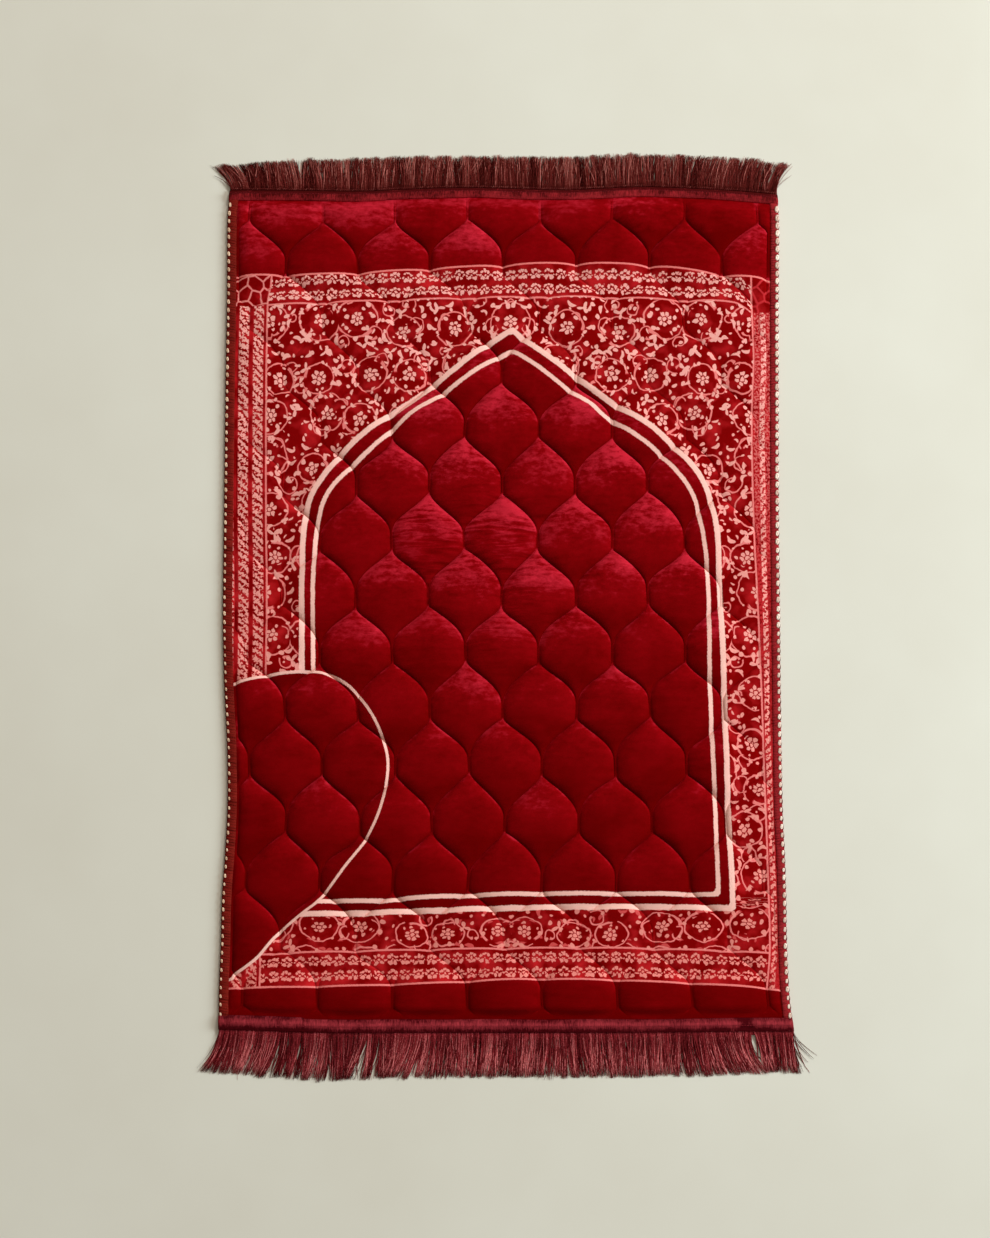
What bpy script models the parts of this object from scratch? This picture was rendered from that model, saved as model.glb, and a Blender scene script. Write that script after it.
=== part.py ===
"""A quilted velour prayer rug lying flat, with overlocked sides, bound ends and yarn fringes.

Metres. +X runs across the rug, +Y points to its head end, +Z is up and z = 0 is the floor.
Everything is drawn on a true rectangle and then laid unevenly, as the cloth really lies, by lay().
"""
import math
import random

import bmesh
import bpy

# Driving dimensions of the cloth, before it is laid unevenly.
RUG_WIDTH = 0.700            # over the overlocked sides
HEAD_Y = 0.5355              # outer face of the head binding
FOOT_Y = -0.5200             # outer face of the foot binding
CLEARANCE = 0.0003           # between one sewn piece and the next

# Quilting: rows of domes with pointed heads, each row half a dome to the side of the last.
DOME_PITCH = 0.0920          # across the rug, from one dome's tip to the next
ROW_PITCH = 0.07046          # down the rug, from one row of tips to the next
LATTICE_X = 0.0005           # a tip column near the middle
TOP_TIPS_Y = 0.4935          # first whole row of tips
SEAM_HALF_GAP = 0.001        # two neighbouring seams keep twice this where they meet
SHOULDER_END = 0.70          # share of a row over which a seam swings out
SHOULDER_POWER = 1.25        # above 1 flares the dome's tip
ROW_STEPS = (0.0, 0.22, 0.45, 0.72)
CROWN_COLUMNS = (0.20, 0.80)  # where the crown's edges lie between two seams

# Heights of the mat's upper face.
EDGE_TOP = 0.0040
FLANGE_TOP = 0.0050
SEAM_TOP = 0.0052
PUFF_RISE = 0.0062
PUFF_FULLNESS = 2.2
PUFF_UNEVENNESS = 0.09
BORDER_MARGIN = 0.0040       # the quilting keeps this clear of the flat flange
EDGE_BOTTOM = 0.0013         # the rim is drawn up off the floor by its stitches
RIM_INSET = 0.009            # where the underside reaches the floor

# Overlocked sides and bound ends: how far each reaches past the mat, and over it.
SERGING_PROUD = 0.0028
SERGING_OVER = 0.0076
SERGING_HEIGHT = 0.0064
BINDING_PROUD = 0.0060
BINDING_OVER = 0.0098
BINDING_HEIGHT = 0.0092
FLANGE_SPARE = 0.0009        # the flat flange goes on this far past the lip
UNDER_LIP = 0.0040
UNDER_LIP_TIP = 0.0004

# Fringes: locks of yarn on a woven header.
LOCKS = 88
HEADER_DEPTH = 0.0080
HEADER_HEIGHT = 0.0026
LOCK_ROOT_SHARE = 0.74       # of one lock's share of the header
LOCK_CURL = 1.4              # above 1 leans a lock more towards its tip
LOCK_SECTIONS = (            # share of the length, share of the root's width, height
    (0.52, 0.92, 0.0030),
    (1.00, 0.60, 0.0014),
)
LOCK_LENGTH_SPREAD = 0.0014
LOCK_LEAN_SPREAD = 0.0012

SERGING_STATIONS = 31
BINDING_STEP = 0.0050        # least distance between two sections of a binding

HALF_WIDTH = RUG_WIDTH / 2
MAT_HALF_WIDTH = HALF_WIDTH - SERGING_PROUD
MAT_HEAD = HEAD_Y - BINDING_PROUD
MAT_FOOT = FOOT_Y + BINDING_PROUD
SIDE_FLANGE = SERGING_OVER + FLANGE_SPARE
END_FLANGE = BINDING_OVER + FLANGE_SPARE
HALF_PITCH = DOME_PITCH / 2

# How far the long sides lie from straight: y, left side's shift in x, right side's shift in x.
SIDE_SHIFTS = (
    (-0.530, 0.0015, 0.0080),
    (-0.480, 0.0010, 0.0025),
    (-0.420, 0.0024, 0.0002),
    (-0.360, 0.0032, 0.0000),
    (-0.310, 0.0062, -0.0008),
    (-0.250, 0.0085, -0.0028),
    (-0.180, 0.0072, -0.0031),
    (-0.100, 0.0025, -0.0032),
    (-0.020, -0.0004, -0.0028),
    (0.100, -0.0008, -0.0025),
    (0.260, -0.0010, -0.0007),
    (0.400, -0.0007, 0.0012),
    (0.500, -0.0012, 0.0031),
    (0.540, 0.0020, 0.0012),
)
# How far the ends lie from straight: x, head end's shift in y, foot end's shift in y.
END_SHIFTS = (
    (-0.350, -0.0010, 0.0030),
    (-0.300, -0.0012, 0.0015),
    (-0.240, -0.0018, -0.0004),
    (-0.182, -0.0025, -0.0012),
    (-0.131, -0.0002, -0.0010),
    (-0.054, 0.0022, -0.0008),
    (0.010, 0.0010, -0.0008),
    (0.074, -0.0008, -0.0008),
    (0.125, 0.0012, -0.0008),
    (0.177, 0.0034, -0.0006),
    (0.228, 0.0018, 0.0000),
    (0.280, -0.0008, 0.0006),
    (0.318, -0.0036, 0.0008),
    (0.350, -0.0066, 0.0008),
)
# The locks: x of the root, length past the binding and sideways lean at the head, then at the foot.
LOCK_TABLE = (
    (-0.350, 0.0300, -0.0190, 0.0540, -0.0130),
    (-0.325, 0.0335, -0.0120, 0.0550, -0.0100),
    (-0.290, 0.0360, -0.0070, 0.0560, -0.0090),
    (-0.255, 0.0390, -0.0040, 0.0590, -0.0070),
    (-0.225, 0.0405, -0.0020, 0.0600, -0.0010),
    (-0.190, 0.0415, 0.0010, 0.0585, -0.0060),
    (-0.150, 0.0410, 0.0000, 0.0570, -0.0050),
    (-0.100, 0.0405, 0.0020, 0.0575, -0.0040),
    (-0.050, 0.0395, 0.0015, 0.0570, 0.0000),
    (0.000, 0.0405, 0.0000, 0.0560, -0.0020),
    (0.060, 0.0420, 0.0010, 0.0560, 0.0010),
    (0.120, 0.0415, -0.0010, 0.0555, 0.0030),
    (0.180, 0.0405, 0.0010, 0.0555, 0.0000),
    (0.230, 0.0415, 0.0040, 0.0550, 0.0040),
    (0.280, 0.0420, 0.0070, 0.0530, 0.0060),
    (0.320, 0.0420, 0.0110, 0.0520, 0.0020),
    (0.350, 0.0390, 0.0190, 0.0540, 0.0090),
)

VELOUR = (0.36, 0.006, 0.018, 1.0)
BURGUNDY = (0.125, 0.012, 0.022, 1.0)
SERGING_THREAD = (0.21, 0.030, 0.040, 1.0)


def smooth_lookup(table, position, column):
    """Read a column of a table on a smooth curve through its rows, flat past both ends."""
    last = len(table) - 1
    if position <= table[0][0]:
        return table[0][column]
    if position >= table[last][0]:
        return table[last][column]
    row = max(i for i in range(last) if table[i][0] <= position)
    start, end = table[row], table[row + 1]
    before, after = table[max(row - 1, 0)], table[min(row + 2, last)]
    span = end[0] - start[0]
    t = (position - start[0]) / span
    slope_in = (end[column] - before[column]) / (end[0] - before[0]) * span
    slope_out = (after[column] - start[column]) / (after[0] - start[0]) * span
    bend_in = start[column] - end[column] + slope_in
    bend_out = end[column] - start[column] - slope_out
    straight = start[column] + (end[column] - start[column]) * t
    return straight + t * (1 - t) * (bend_in * (1 - t) + bend_out * t)


def lay(x, y):
    """Move a point of the true rectangle to where the laid cloth has it."""
    across = min(max((x + HALF_WIDTH) / RUG_WIDTH, 0), 1)
    along = min(max((y - FOOT_Y) / (HEAD_Y - FOOT_Y), 0), 1)
    left, right = smooth_lookup(SIDE_SHIFTS, y, 1), smooth_lookup(SIDE_SHIFTS, y, 2)
    head, foot = smooth_lookup(END_SHIFTS, x, 1), smooth_lookup(END_SHIFTS, x, 2)
    return x + left + (right - left) * across, y + foot + (head - foot) * along


def new_object(name, bm, color, roughness, collection):
    """Lay the finished solid on the floor as one object with its own material."""
    for vertex in bm.verts:
        vertex.co.x, vertex.co.y = lay(vertex.co.x, vertex.co.y)
    bmesh.ops.recalc_face_normals(bm, faces=bm.faces)
    mesh = bpy.data.meshes.new(name)
    bm.to_mesh(mesh)
    bm.free()
    material = bpy.data.materials.new(name + "_material")
    material.use_nodes = True
    shader = material.node_tree.nodes["Principled BSDF"]
    shader.inputs["Base Color"].default_value = color
    shader.inputs["Roughness"].default_value = roughness
    shader.inputs["Metallic"].default_value = 0.0
    mesh.materials.append(material)
    mesh.shade_smooth()
    mesh.set_sharp_from_angle(angle=math.radians(50))
    collection.objects.link(bpy.data.objects.new(name, mesh))


def seam_x(line, y):
    """Where a wavy seam is at y. It swings from tip to tip between two neighbouring tip columns."""
    rows_down = (TOP_TIPS_Y - y) / ROW_PITCH
    row = row_above(y)
    share = min(max(rows_down - row, 0) / SHOULDER_END, 1)
    swing = math.sin(math.pi / 2 * share) ** SHOULDER_POWER
    starts_left = (row + line) % 2 == 1
    travel = swing if starts_left else 1 - swing
    reach = HALF_PITCH - 2 * SEAM_HALF_GAP
    return LATTICE_X + line * HALF_PITCH + SEAM_HALF_GAP + reach * travel


def row_above(y):
    """The row of tips at y or next above it, counted from the first whole row."""
    return math.floor((TOP_TIPS_Y - y) / ROW_PITCH + 1e-6)


def crown_top(width, y, line):
    """Height of the velour between two seams this far apart, the left one being `line`."""
    tip_row = row_above(y) - (row_above(y) + line) % 2
    fullness = 1 - (1 - min(width / DOME_PITCH, 1)) ** PUFF_FULLNESS
    dome = 1 + PUFF_UNEVENNESS * math.sin(2.3 * tip_row + 3.7 * line)
    return SEAM_TOP + PUFF_RISE * fullness * dome


def mat_columns(y):
    """The mat's points across one row, as (x, height of the upper face), from left to right."""
    flange_x = MAT_HALF_WIDTH - SIDE_FLANGE
    keep_in = flange_x - BORDER_MARGIN
    first = math.floor((-flange_x - LATTICE_X) / HALF_PITCH)
    last = math.ceil((flange_x - LATTICE_X) / HALF_PITCH) - 1
    lines = range(first, last + 1)
    seams = [min(max(seam_x(line, y), -keep_in), keep_in) for line in lines]
    left_border, right_border = seams[0] + flange_x, flange_x - seams[-1]
    columns = [(-MAT_HALF_WIDTH, EDGE_TOP), (-flange_x, FLANGE_TOP)]
    columns.append((seams[0] - left_border / 2, crown_top(left_border, y, first - 1)))
    for line, left, right in zip(lines, seams, seams[1:]):
        columns.append((left, SEAM_TOP))
        top = crown_top(right - left, y, line)
        columns += [(left + (right - left) * share, top) for share in CROWN_COLUMNS]
    columns.append((seams[-1], SEAM_TOP))
    columns.append((seams[-1] + right_border / 2, crown_top(right_border, y, last)))
    columns += [(flange_x, FLANGE_TOP), (MAT_HALF_WIDTH, EDGE_TOP)]
    return columns


def mat_rows():
    """The y of each of the mat's rows of points, from foot to head."""
    foot_flange, head_flange = MAT_FOOT + END_FLANGE, MAT_HEAD - END_FLANGE
    rows = range(row_above(head_flange), row_above(foot_flange) + 1)
    quilted = [TOP_TIPS_Y - (row + step) * ROW_PITCH for row in rows for step in ROW_STEPS]
    inside = [y for y in quilted if foot_flange + BORDER_MARGIN < y < head_flange - BORDER_MARGIN]
    return [MAT_FOOT, foot_flange] + sorted(inside) + [head_flange, MAT_HEAD]


def extrude_rim(bm, edges):
    """Extrude a closed ring of edges. Gives the new ring."""
    grown = bmesh.ops.extrude_edge_only(bm, edges=edges)["geom"]
    return [item for item in grown if isinstance(item, bmesh.types.BMEdge) and item.is_boundary]


def rim_points(edges):
    """The points of a ring of edges, each once."""
    return {vertex for edge in edges for vertex in edge.verts}


def build_mat(collection):
    """The padded velour: a grid that follows the seams, raised into domes and closed below."""
    rows = mat_rows()
    columns = [mat_columns(y) for y in rows]
    across = len(columns[0])
    bm = bmesh.new()
    bmesh.ops.create_grid(bm, x_segments=across - 1, y_segments=len(rows) - 1, size=1)
    for index, vertex in enumerate(bm.verts):
        row, column = divmod(index, across)
        x, top = columns[row][column]
        if row in (0, len(rows) - 1):
            top = EDGE_TOP
        elif row in (1, len(rows) - 2):
            top = min(top, FLANGE_TOP)
        vertex.co = (x, rows[row], top)
    rim = extrude_rim(bm, [edge for edge in bm.edges if edge.is_boundary])
    for vertex in rim_points(rim):
        vertex.co.z = EDGE_BOTTOM
    base = extrude_rim(bm, rim)
    middle_y, half_length = (MAT_HEAD + MAT_FOOT) / 2, (MAT_HEAD - MAT_FOOT) / 2
    for vertex in rim_points(base):
        vertex.co.x *= 1 - RIM_INSET / MAT_HALF_WIDTH
        vertex.co.y = middle_y + (vertex.co.y - middle_y) * (1 - RIM_INSET / half_length)
        vertex.co.z = 0
    bmesh.ops.contextual_create(bm, geom=base)
    new_object("quilted_mat", bm, VELOUR, 0.92, collection)


def loft(sections):
    """A closed solid through flat sections that have the same number of points each."""
    ring = len(sections[0])
    bm = bmesh.new()
    bmesh.ops.create_grid(bm, x_segments=ring, y_segments=len(sections) - 1, size=1)
    for index, vertex in enumerate(bm.verts):
        row, column = divmod(index, ring + 1)
        vertex.co = sections[row][column % ring]
    bmesh.ops.remove_doubles(bm, verts=bm.verts, dist=1e-6)
    bmesh.ops.holes_fill(bm, edges=[edge for edge in bm.edges if edge.is_boundary], sides=0)
    return bm


def wrapped_section(proud, over, height):
    """Cloth or thread folded round the mat's edge, as (outwards from that edge, z) points."""
    gap = CLEARANCE * 1.3
    lip_rise = (FLANGE_TOP - EDGE_TOP) * over / (over + FLANGE_SPARE)
    return (
        (-over, EDGE_TOP + lip_rise + gap),
        (gap, EDGE_TOP + gap),
        (gap, EDGE_BOTTOM - gap),
        (-UNDER_LIP, UNDER_LIP_TIP),
        (-UNDER_LIP, 0.0),
        (proud * 0.90, 0.0),
        (proud, height * 0.45),
        (proud * 0.55, height * 0.86),
        (-over * 0.30, height),
        (-over * 0.84, height * 0.88),
    )


def build_sergings(collection):
    """The overlocked long sides, from one binding to the other."""
    section = wrapped_section(SERGING_PROUD, SERGING_OVER, SERGING_HEIGHT)
    start = MAT_FOOT + BINDING_OVER + CLEARANCE
    length = MAT_HEAD - BINDING_OVER - CLEARANCE - start
    for name, side in (("edge_serging_left", -1), ("edge_serging_right", 1)):
        sections = []
        for station in range(SERGING_STATIONS):
            y = start + length * station / (SERGING_STATIONS - 1)
            sections.append([(side * (MAT_HALF_WIDTH + out), y, z) for out, z in section])
        new_object(name, loft(sections), SERGING_THREAD, 0.8, collection)


def build_bindings(collection):
    """The rolled tapes that close the two ends, over the full width."""
    section = wrapped_section(BINDING_PROUD, BINDING_OVER, BINDING_HEIGHT)
    for name, edge, end in (("end_binding_head", MAT_HEAD, 1), ("end_binding_foot", MAT_FOOT, -1)):
        stations = [-HALF_WIDTH]
        for x, _ in mat_columns(edge):
            if stations[-1] + BINDING_STEP < x < HALF_WIDTH - BINDING_STEP:
                stations.append(x)
        stations.append(HALF_WIDTH)
        sections = [[(x, edge + end * out, z) for out, z in section] for x in stations]
        new_object(name, loft(sections), BURGUNDY, 0.75, collection)


def build_fringe(name, binding_face, end, length_column, seed, collection):
    """One fringe: a woven header along the binding, and locks of yarn that lie on the floor."""
    rng = random.Random(seed)
    back = binding_face + end * CLEARANCE
    front = back + end * HEADER_DEPTH
    share = RUG_WIDTH / LOCKS
    half_root = share * LOCK_ROOT_SHARE / 2
    middles = [-HALF_WIDTH + share * (lock + 0.5) for lock in range(LOCKS)]
    cuts = [x for middle in middles for x in (middle - half_root, middle + half_root)]
    corners = ((back, 0.0), (front, 0.0), (front, HEADER_HEIGHT), (back, HEADER_HEIGHT))
    bm = loft([[(x, y, z) for y, z in corners] for x in cuts])
    fronts = [face for face in bm.faces if all(abs(v.co.y - front) < CLEARANCE for v in face.verts)]
    for middle in middles:
        root = next(f for f in fronts if abs(f.calc_center_median().x - middle) < half_root / 2)
        fronts.remove(root)
        length = smooth_lookup(LOCK_TABLE, middle, length_column) - HEADER_DEPTH
        length += rng.uniform(-1, 1) * LOCK_LENGTH_SPREAD
        lean = smooth_lookup(LOCK_TABLE, middle, length_column + 1)
        lean += rng.uniform(-1, 1) * LOCK_LEAN_SPREAD
        for along, scale, height in LOCK_SECTIONS:
            root = bmesh.ops.extrude_discrete_faces(bm, faces=[root])["faces"][0]
            centre = root.calc_center_median().x
            for vertex in root.verts:
                side = math.copysign(half_root * scale, vertex.co.x - centre)
                x = middle + lean * along ** LOCK_CURL + side
                vertex.co = (x, front + end * length * along, height if vertex.co.z > 0 else 0)
    new_object(name, bm, BURGUNDY, 0.85, collection)


def main():
    for old in list(bpy.data.objects):
        bpy.data.objects.remove(old)
    rug = bpy.data.collections.new("prayer_rug")
    bpy.context.scene.collection.children.link(rug)
    build_mat(rug)
    build_sergings(rug)
    build_bindings(rug)
    build_fringe("fringe_head", HEAD_Y, 1, 1, 5, rug)
    build_fringe("fringe_foot", FOOT_Y, -1, 3, 6, rug)


main()
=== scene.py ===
"""Looks of the quilted velour prayer rug: printed velvet, overlocked sides, rolled ends and yarn fringes.

Metres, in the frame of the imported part. +X runs across the rug, +Y to its head end, z = 0 is the floor.
"""
import math
from types import SimpleNamespace

import bmesh
import bpy
import numpy as np
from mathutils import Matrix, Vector


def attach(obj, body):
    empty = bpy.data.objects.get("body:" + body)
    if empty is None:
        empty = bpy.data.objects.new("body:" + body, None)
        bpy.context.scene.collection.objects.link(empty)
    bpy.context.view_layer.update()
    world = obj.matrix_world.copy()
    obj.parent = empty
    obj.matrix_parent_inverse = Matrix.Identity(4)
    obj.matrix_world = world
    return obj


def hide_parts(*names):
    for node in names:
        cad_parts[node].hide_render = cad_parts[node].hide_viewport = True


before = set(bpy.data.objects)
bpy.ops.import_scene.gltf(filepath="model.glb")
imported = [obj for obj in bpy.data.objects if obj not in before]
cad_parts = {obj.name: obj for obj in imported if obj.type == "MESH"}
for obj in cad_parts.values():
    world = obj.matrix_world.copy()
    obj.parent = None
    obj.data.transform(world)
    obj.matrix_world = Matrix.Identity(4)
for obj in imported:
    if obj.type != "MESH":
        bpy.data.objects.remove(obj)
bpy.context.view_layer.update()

# ---------------------------------------------------------------- the part's own dimensions
RUG_WIDTH = 0.700
HEAD_Y = 0.5355              # outer face of the head binding
FOOT_Y = -0.5200
DOME_PITCH = 0.0920
ROW_PITCH = 0.07046
LATTICE_X = 0.0005
TOP_TIPS_Y = 0.4935
SEAM_HALF_GAP = 0.001
SHOULDER_END = 0.70
SHOULDER_POWER = 1.25
EDGE_TOP = 0.0040
FLANGE_TOP = 0.0050
EDGE_BOTTOM = 0.0013
RIM_INSET = 0.009
BORDER_MARGIN = 0.0040
SERGING_PROUD = 0.0028
SERGING_OVER = 0.0076
BINDING_PROUD = 0.0060
BINDING_OVER = 0.0098
FLANGE_SPARE = 0.0009
HEADER_DEPTH = 0.0080
HALF_WIDTH = RUG_WIDTH / 2
HALF_PITCH = DOME_PITCH / 2
MAT_HALF_WIDTH = HALF_WIDTH - SERGING_PROUD
MAT_HEAD = HEAD_Y - BINDING_PROUD
MAT_FOOT = FOOT_Y + BINDING_PROUD
END_FLANGE = BINDING_OVER + FLANGE_SPARE
FLANGE_X = MAT_HALF_WIDTH - SERGING_OVER - FLANGE_SPARE
HEAD_FLANGE = MAT_HEAD - END_FLANGE
FOOT_FLANGE = MAT_FOOT + END_FLANGE

# The tables of the outline, of the print's lines and of the yarns are in millimetres.
SIDE_SHIFTS = (  # y, left side's shift in x, right side's shift in x
    (-530, 1.5, 8), (-480, 1, 2.5), (-420, 2.4, 0.2), (-360, 3.2, 0), (-310, 6.2, -0.8),
    (-250, 8.5, -2.8), (-180, 7.2, -3.1), (-100, 2.5, -3.2), (-20, -0.4, -2.8), (100, -0.8, -2.5),
    (260, -1, -0.7), (400, -0.7, 1.2), (500, -1.2, 3.1), (540, 2, 1.2),
)
END_SHIFTS = (  # x, head end's shift in y, foot end's shift in y
    (-350, -1, 3), (-300, -1.2, 1.5), (-240, -1.8, -0.4), (-182, -2.5, -1.2), (-131, -0.2, -1),
    (-54, 2.2, -0.8), (10, 1, -0.8), (74, -0.8, -0.8), (125, 1.2, -0.8), (177, 3.4, -0.6),
    (228, 1.8, 0), (280, -0.8, 0.6), (318, -3.6, 0.8), (350, -6.6, 0.8),
)
LOCK_TABLE = (  # x of the yarns' roots, their reach past the binding at the head, then at the foot
    (-350, 30, 54), (-325, 33.5, 55), (-290, 36, 56), (-255, 39, 59), (-225, 40.5, 60),
    (-190, 41.5, 58.5), (-150, 41, 57), (-100, 40.5, 57.5), (-50, 39.5, 57), (0, 40.5, 56),
    (60, 42, 56), (120, 41.5, 55.5), (180, 40.5, 55.5), (230, 41.5, 55), (280, 42, 53), (320, 42, 52),
    (350, 39, 54),
)

# ---------------------------------------------------------------- where the print's lines run
ARCH_OUTER = (  # x, y
    (12, 350), (-31, 323), (-70, 292), (-110.5, 262.5), (-158, 230.5), (-194.5, 199), (-225.5, 162),
    (-243, 129), (-249.5, 83.5), (-250.5, 8), (-249.5, -82), (-251, -215.5), (-250.5, -379.5),
    (-175.5, -378.5), (-101.5, -376), (19, -372), (120, -370.5), (218.5, -371), (283, -372.5),
    (281, -314), (277.5, -215.5), (275, -92), (271, 33), (269, 90), (263.5, 121.5), (256, 148),
    (240.5, 174.5), (214, 202.5), (182.5, 230.5), (145.5, 252.5), (111, 276.5), (76.5, 303.5),
    (45, 325.5),
)
ARCH_INNER = (
    (12, 325.5), (-30.5, 301), (-78, 266.5), (-110.5, 247.5), (-136.5, 225.5), (-168, 196.5),
    (-194, 172), (-215.5, 148), (-228.5, 119), (-235, 77), (-237, 8), (-236, -82), (-236, -215.5),
    (-237, -364), (-153.5, -364), (-101.5, -360), (19, -355.5), (120, -355), (218.5, -355.5),
    (265.5, -356.5), (264.5, -314), (262.5, -240.5), (258, -104.5), (257.5, 8), (254, 71), (245.5, 119),
    (237.5, 143), (219, 169.5), (193, 196.5), (161.5, 220.5), (129.5, 241), (111, 257.5), (82, 275.5),
    (45, 303.5),
)
CORNER_PANEL = (
    (-390, -100), (-345.5, -99.5), (-333, -95.5), (-299.5, -88), (-264.5, -83), (-227, -82),
    (-196, -95.5), (-177, -114), (-158.5, -141.5), (-146, -172.5), (-142, -197), (-145.5, -228),
    (-154, -258.5), (-171, -292), (-194.5, -322.5), (-223.5, -360), (-249.5, -381), (-277.5, -405),
    (-299, -430.5), (-316, -444), (-329.5, -453), (-337, -459.5), (-390, -464),
)
TOP_OUTER = (  # x, y
    (-352, 419.5), (-333, 421), (-231.5, 422), (-130, 427.5), (-54, 431.5), (48, 436), (136.5, 436),
    (200, 432.5), (276.5, 422), (327, 418.5), (358.5, 410.5),
)
TOP_INNER = (
    (-297, 383), (-256.5, 385.5), (-130, 390), (-3, 394), (124, 394), (225, 390), (295, 386),
    (316.5, 374.5),
)
BOTTOM_INNER = (
    (-304, -429.5), (-249, -427), (-101.5, -424), (19, -422), (119.5, -421.5), (242.5, -424),
    (330.5, -427.5),
)
BOTTOM_OUTER = (
    (-340.5, -470), (-328, -469.5), (-238.5, -468), (-140.5, -465.5), (-51, -462), (19, -459),
    (119.5, -459.5), (242, -464.5), (303, -468), (352, -473),
)
LEFT_LINE = (  # y, x
    (-469.5, -298), (-429.5, -298), (-338, -296.5), (-191, -295.5), (-82, -295), (20.5, -295),
    (134, -297.5), (382, -298), (421, -292.5),
)
RIGHT_LINE = (
    (-469.5, 324.5), (-426, 328.5), (-375, 328.5), (-215.5, 325), (-42, 321), (20.5, 318.5), (134, 315),
    (197.5, 314.5), (261.5, 315.5), (315, 318), (418.5, 315.5),
)
PRINT_MIDDLE_X = 0.0106


# ---------------------------------------------------------------- shapes shared by the pieces
def in_metres(table):
    """A table written in millimetres."""
    return np.array(table, float) / 1000


def read_curve(table, position, column=1):
    """A column of a table on a smooth curve through its rows, flat past both ends."""
    rows = in_metres(table)
    marks, values = rows[:, 0], rows[:, column]
    place = np.clip(position, marks[0], marks[-1])
    row = np.clip(np.searchsorted(marks, place, side="right") - 1, 0, len(marks) - 2)
    before, after = np.maximum(row - 1, 0), np.minimum(row + 2, len(marks) - 1)
    span = marks[row + 1] - marks[row]
    t = (place - marks[row]) / span
    slope_in = (values[row + 1] - values[before]) / (marks[row + 1] - marks[before]) * span
    slope_out = (values[after] - values[row]) / (marks[after] - marks[row]) * span
    bend_in = values[row] - values[row + 1] + slope_in
    bend_out = values[row + 1] - values[row] - slope_out
    straight = values[row] + (values[row + 1] - values[row]) * t
    return straight + t * (1 - t) * (bend_in * (1 - t) + bend_out * t)


def lay(points):
    """Move points of the true rectangle to where the laid cloth has them, as the part does."""
    x, y = points[:, 0], points[:, 1]
    across = np.clip((x + HALF_WIDTH) / RUG_WIDTH, 0, 1)
    along = np.clip((y - FOOT_Y) / (HEAD_Y - FOOT_Y), 0, 1)
    left, right = read_curve(SIDE_SHIFTS, y, 1), read_curve(SIDE_SHIFTS, y, 2)
    head, foot = read_curve(END_SHIFTS, x, 1), read_curve(END_SHIFTS, x, 2)
    moved = points.copy()
    moved[:, 0] = x + left + (right - left) * across
    moved[:, 1] = y + foot + (head - foot) * along
    return moved


def smooth_step(value, low, high):
    """0 up to low, 1 from high on, and a soft rise between them."""
    t = np.clip((value - low) / (high - low), 0, 1)
    return t * t * (3 - 2 * t)


def ripples(x, y, wavelength, seed, count=7, stretch=1.0):
    """A soft uneven field from -1 to 1: a sum of waves in all directions, longer in x by stretch."""
    rng = np.random.default_rng(seed)
    total = np.zeros(np.shape(x))
    for _ in range(count):
        angle, phase = rng.uniform(0, 2 * math.pi, 2)
        turns = 2 * math.pi / (wavelength * rng.uniform(0.7, 1.5))
        total = total + np.sin(turns * (x * math.cos(angle) / stretch + y * math.sin(angle)) + phase)
    return total / math.sqrt(count * 2) / 1.6


def distance_to_ring(points, ring):
    """Signed distance in plan to a closed line, negative inside."""
    ends = np.roll(ring, -1, axis=0)
    nearest = np.full(len(points), 1e9)
    inside = np.zeros(len(points), bool)
    for (ax, ay), (bx, by) in zip(ring, ends):
        run_x, run_y = bx - ax, by - ay
        dx, dy = points[:, 0] - ax, points[:, 1] - ay
        t = np.clip((dx * run_x + dy * run_y) / (run_x ** 2 + run_y ** 2), 0, 1)
        nearest = np.minimum(nearest, np.hypot(dx - t * run_x, dy - t * run_y))
        if run_y != 0:
            crosses = (ay > points[:, 1]) != (by > points[:, 1])
            inside ^= crosses & (points[:, 0] < ax + run_x * (points[:, 1] - ay) / run_y)
    return np.where(inside, -nearest, nearest)


def rounded(ring, corners=()):
    """A closed table's line with more points, smooth but for sharp turns at the named corners."""
    ring = in_metres(ring)
    total, out = len(ring), []
    for index in range(total):
        a, b = ring[index], ring[(index + 1) % total]
        before = a if index in corners else ring[index - 1]
        after = b if (index + 1) % total in corners else ring[(index + 2) % total]
        for t in (0.0, 0.25, 0.5, 0.75):
            in_pull, out_pull = (b - before) / 2, (after - a) / 2
            h1, h2 = 2 * t ** 3 - 3 * t ** 2 + 1, t ** 3 - 2 * t ** 2 + t
            h3, h4 = 3 * t ** 2 - 2 * t ** 3, t ** 3 - t ** 2
            out.append(h1 * a + h2 * in_pull + h3 * b + h4 * out_pull)
    return np.array(out)


def face_outward(mesh):
    """Turn the faces of every closed part of the mesh to the outside."""
    shape = bmesh.new()
    shape.from_mesh(mesh)
    bmesh.ops.recalc_face_normals(shape, faces=shape.faces)
    shape.to_mesh(mesh)
    shape.free()


def new_piece(name, node, points, faces, materials, which=None):
    """One shown piece that stands for a CAD node, laid as the cloth lies. which: each face's material."""
    mesh = bpy.data.meshes.new(name)
    mesh.from_pydata(lay(np.asarray(points, float)).tolist(), [], faces)
    for material in materials:
        mesh.materials.append(material)
    if which is not None:
        mesh.polygons.foreach_set("material_index", np.asarray(which, np.int32))
    face_outward(mesh)
    mesh.shade_smooth()
    piece = bpy.data.objects.new(name, mesh)
    bpy.context.scene.collection.objects.link(piece)
    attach(piece, "root")
    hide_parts(node)
    return piece


def add_attribute(piece, name, values):
    """A value or a vector per vertex, for the materials to read."""
    values = np.asarray(values, np.float32)
    kind, key = ("FLOAT", "value") if values.ndim == 1 else ("FLOAT_VECTOR", "vector")
    piece.data.attributes.new(name, kind, "POINT").data.foreach_set(key, values.ravel())


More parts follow.
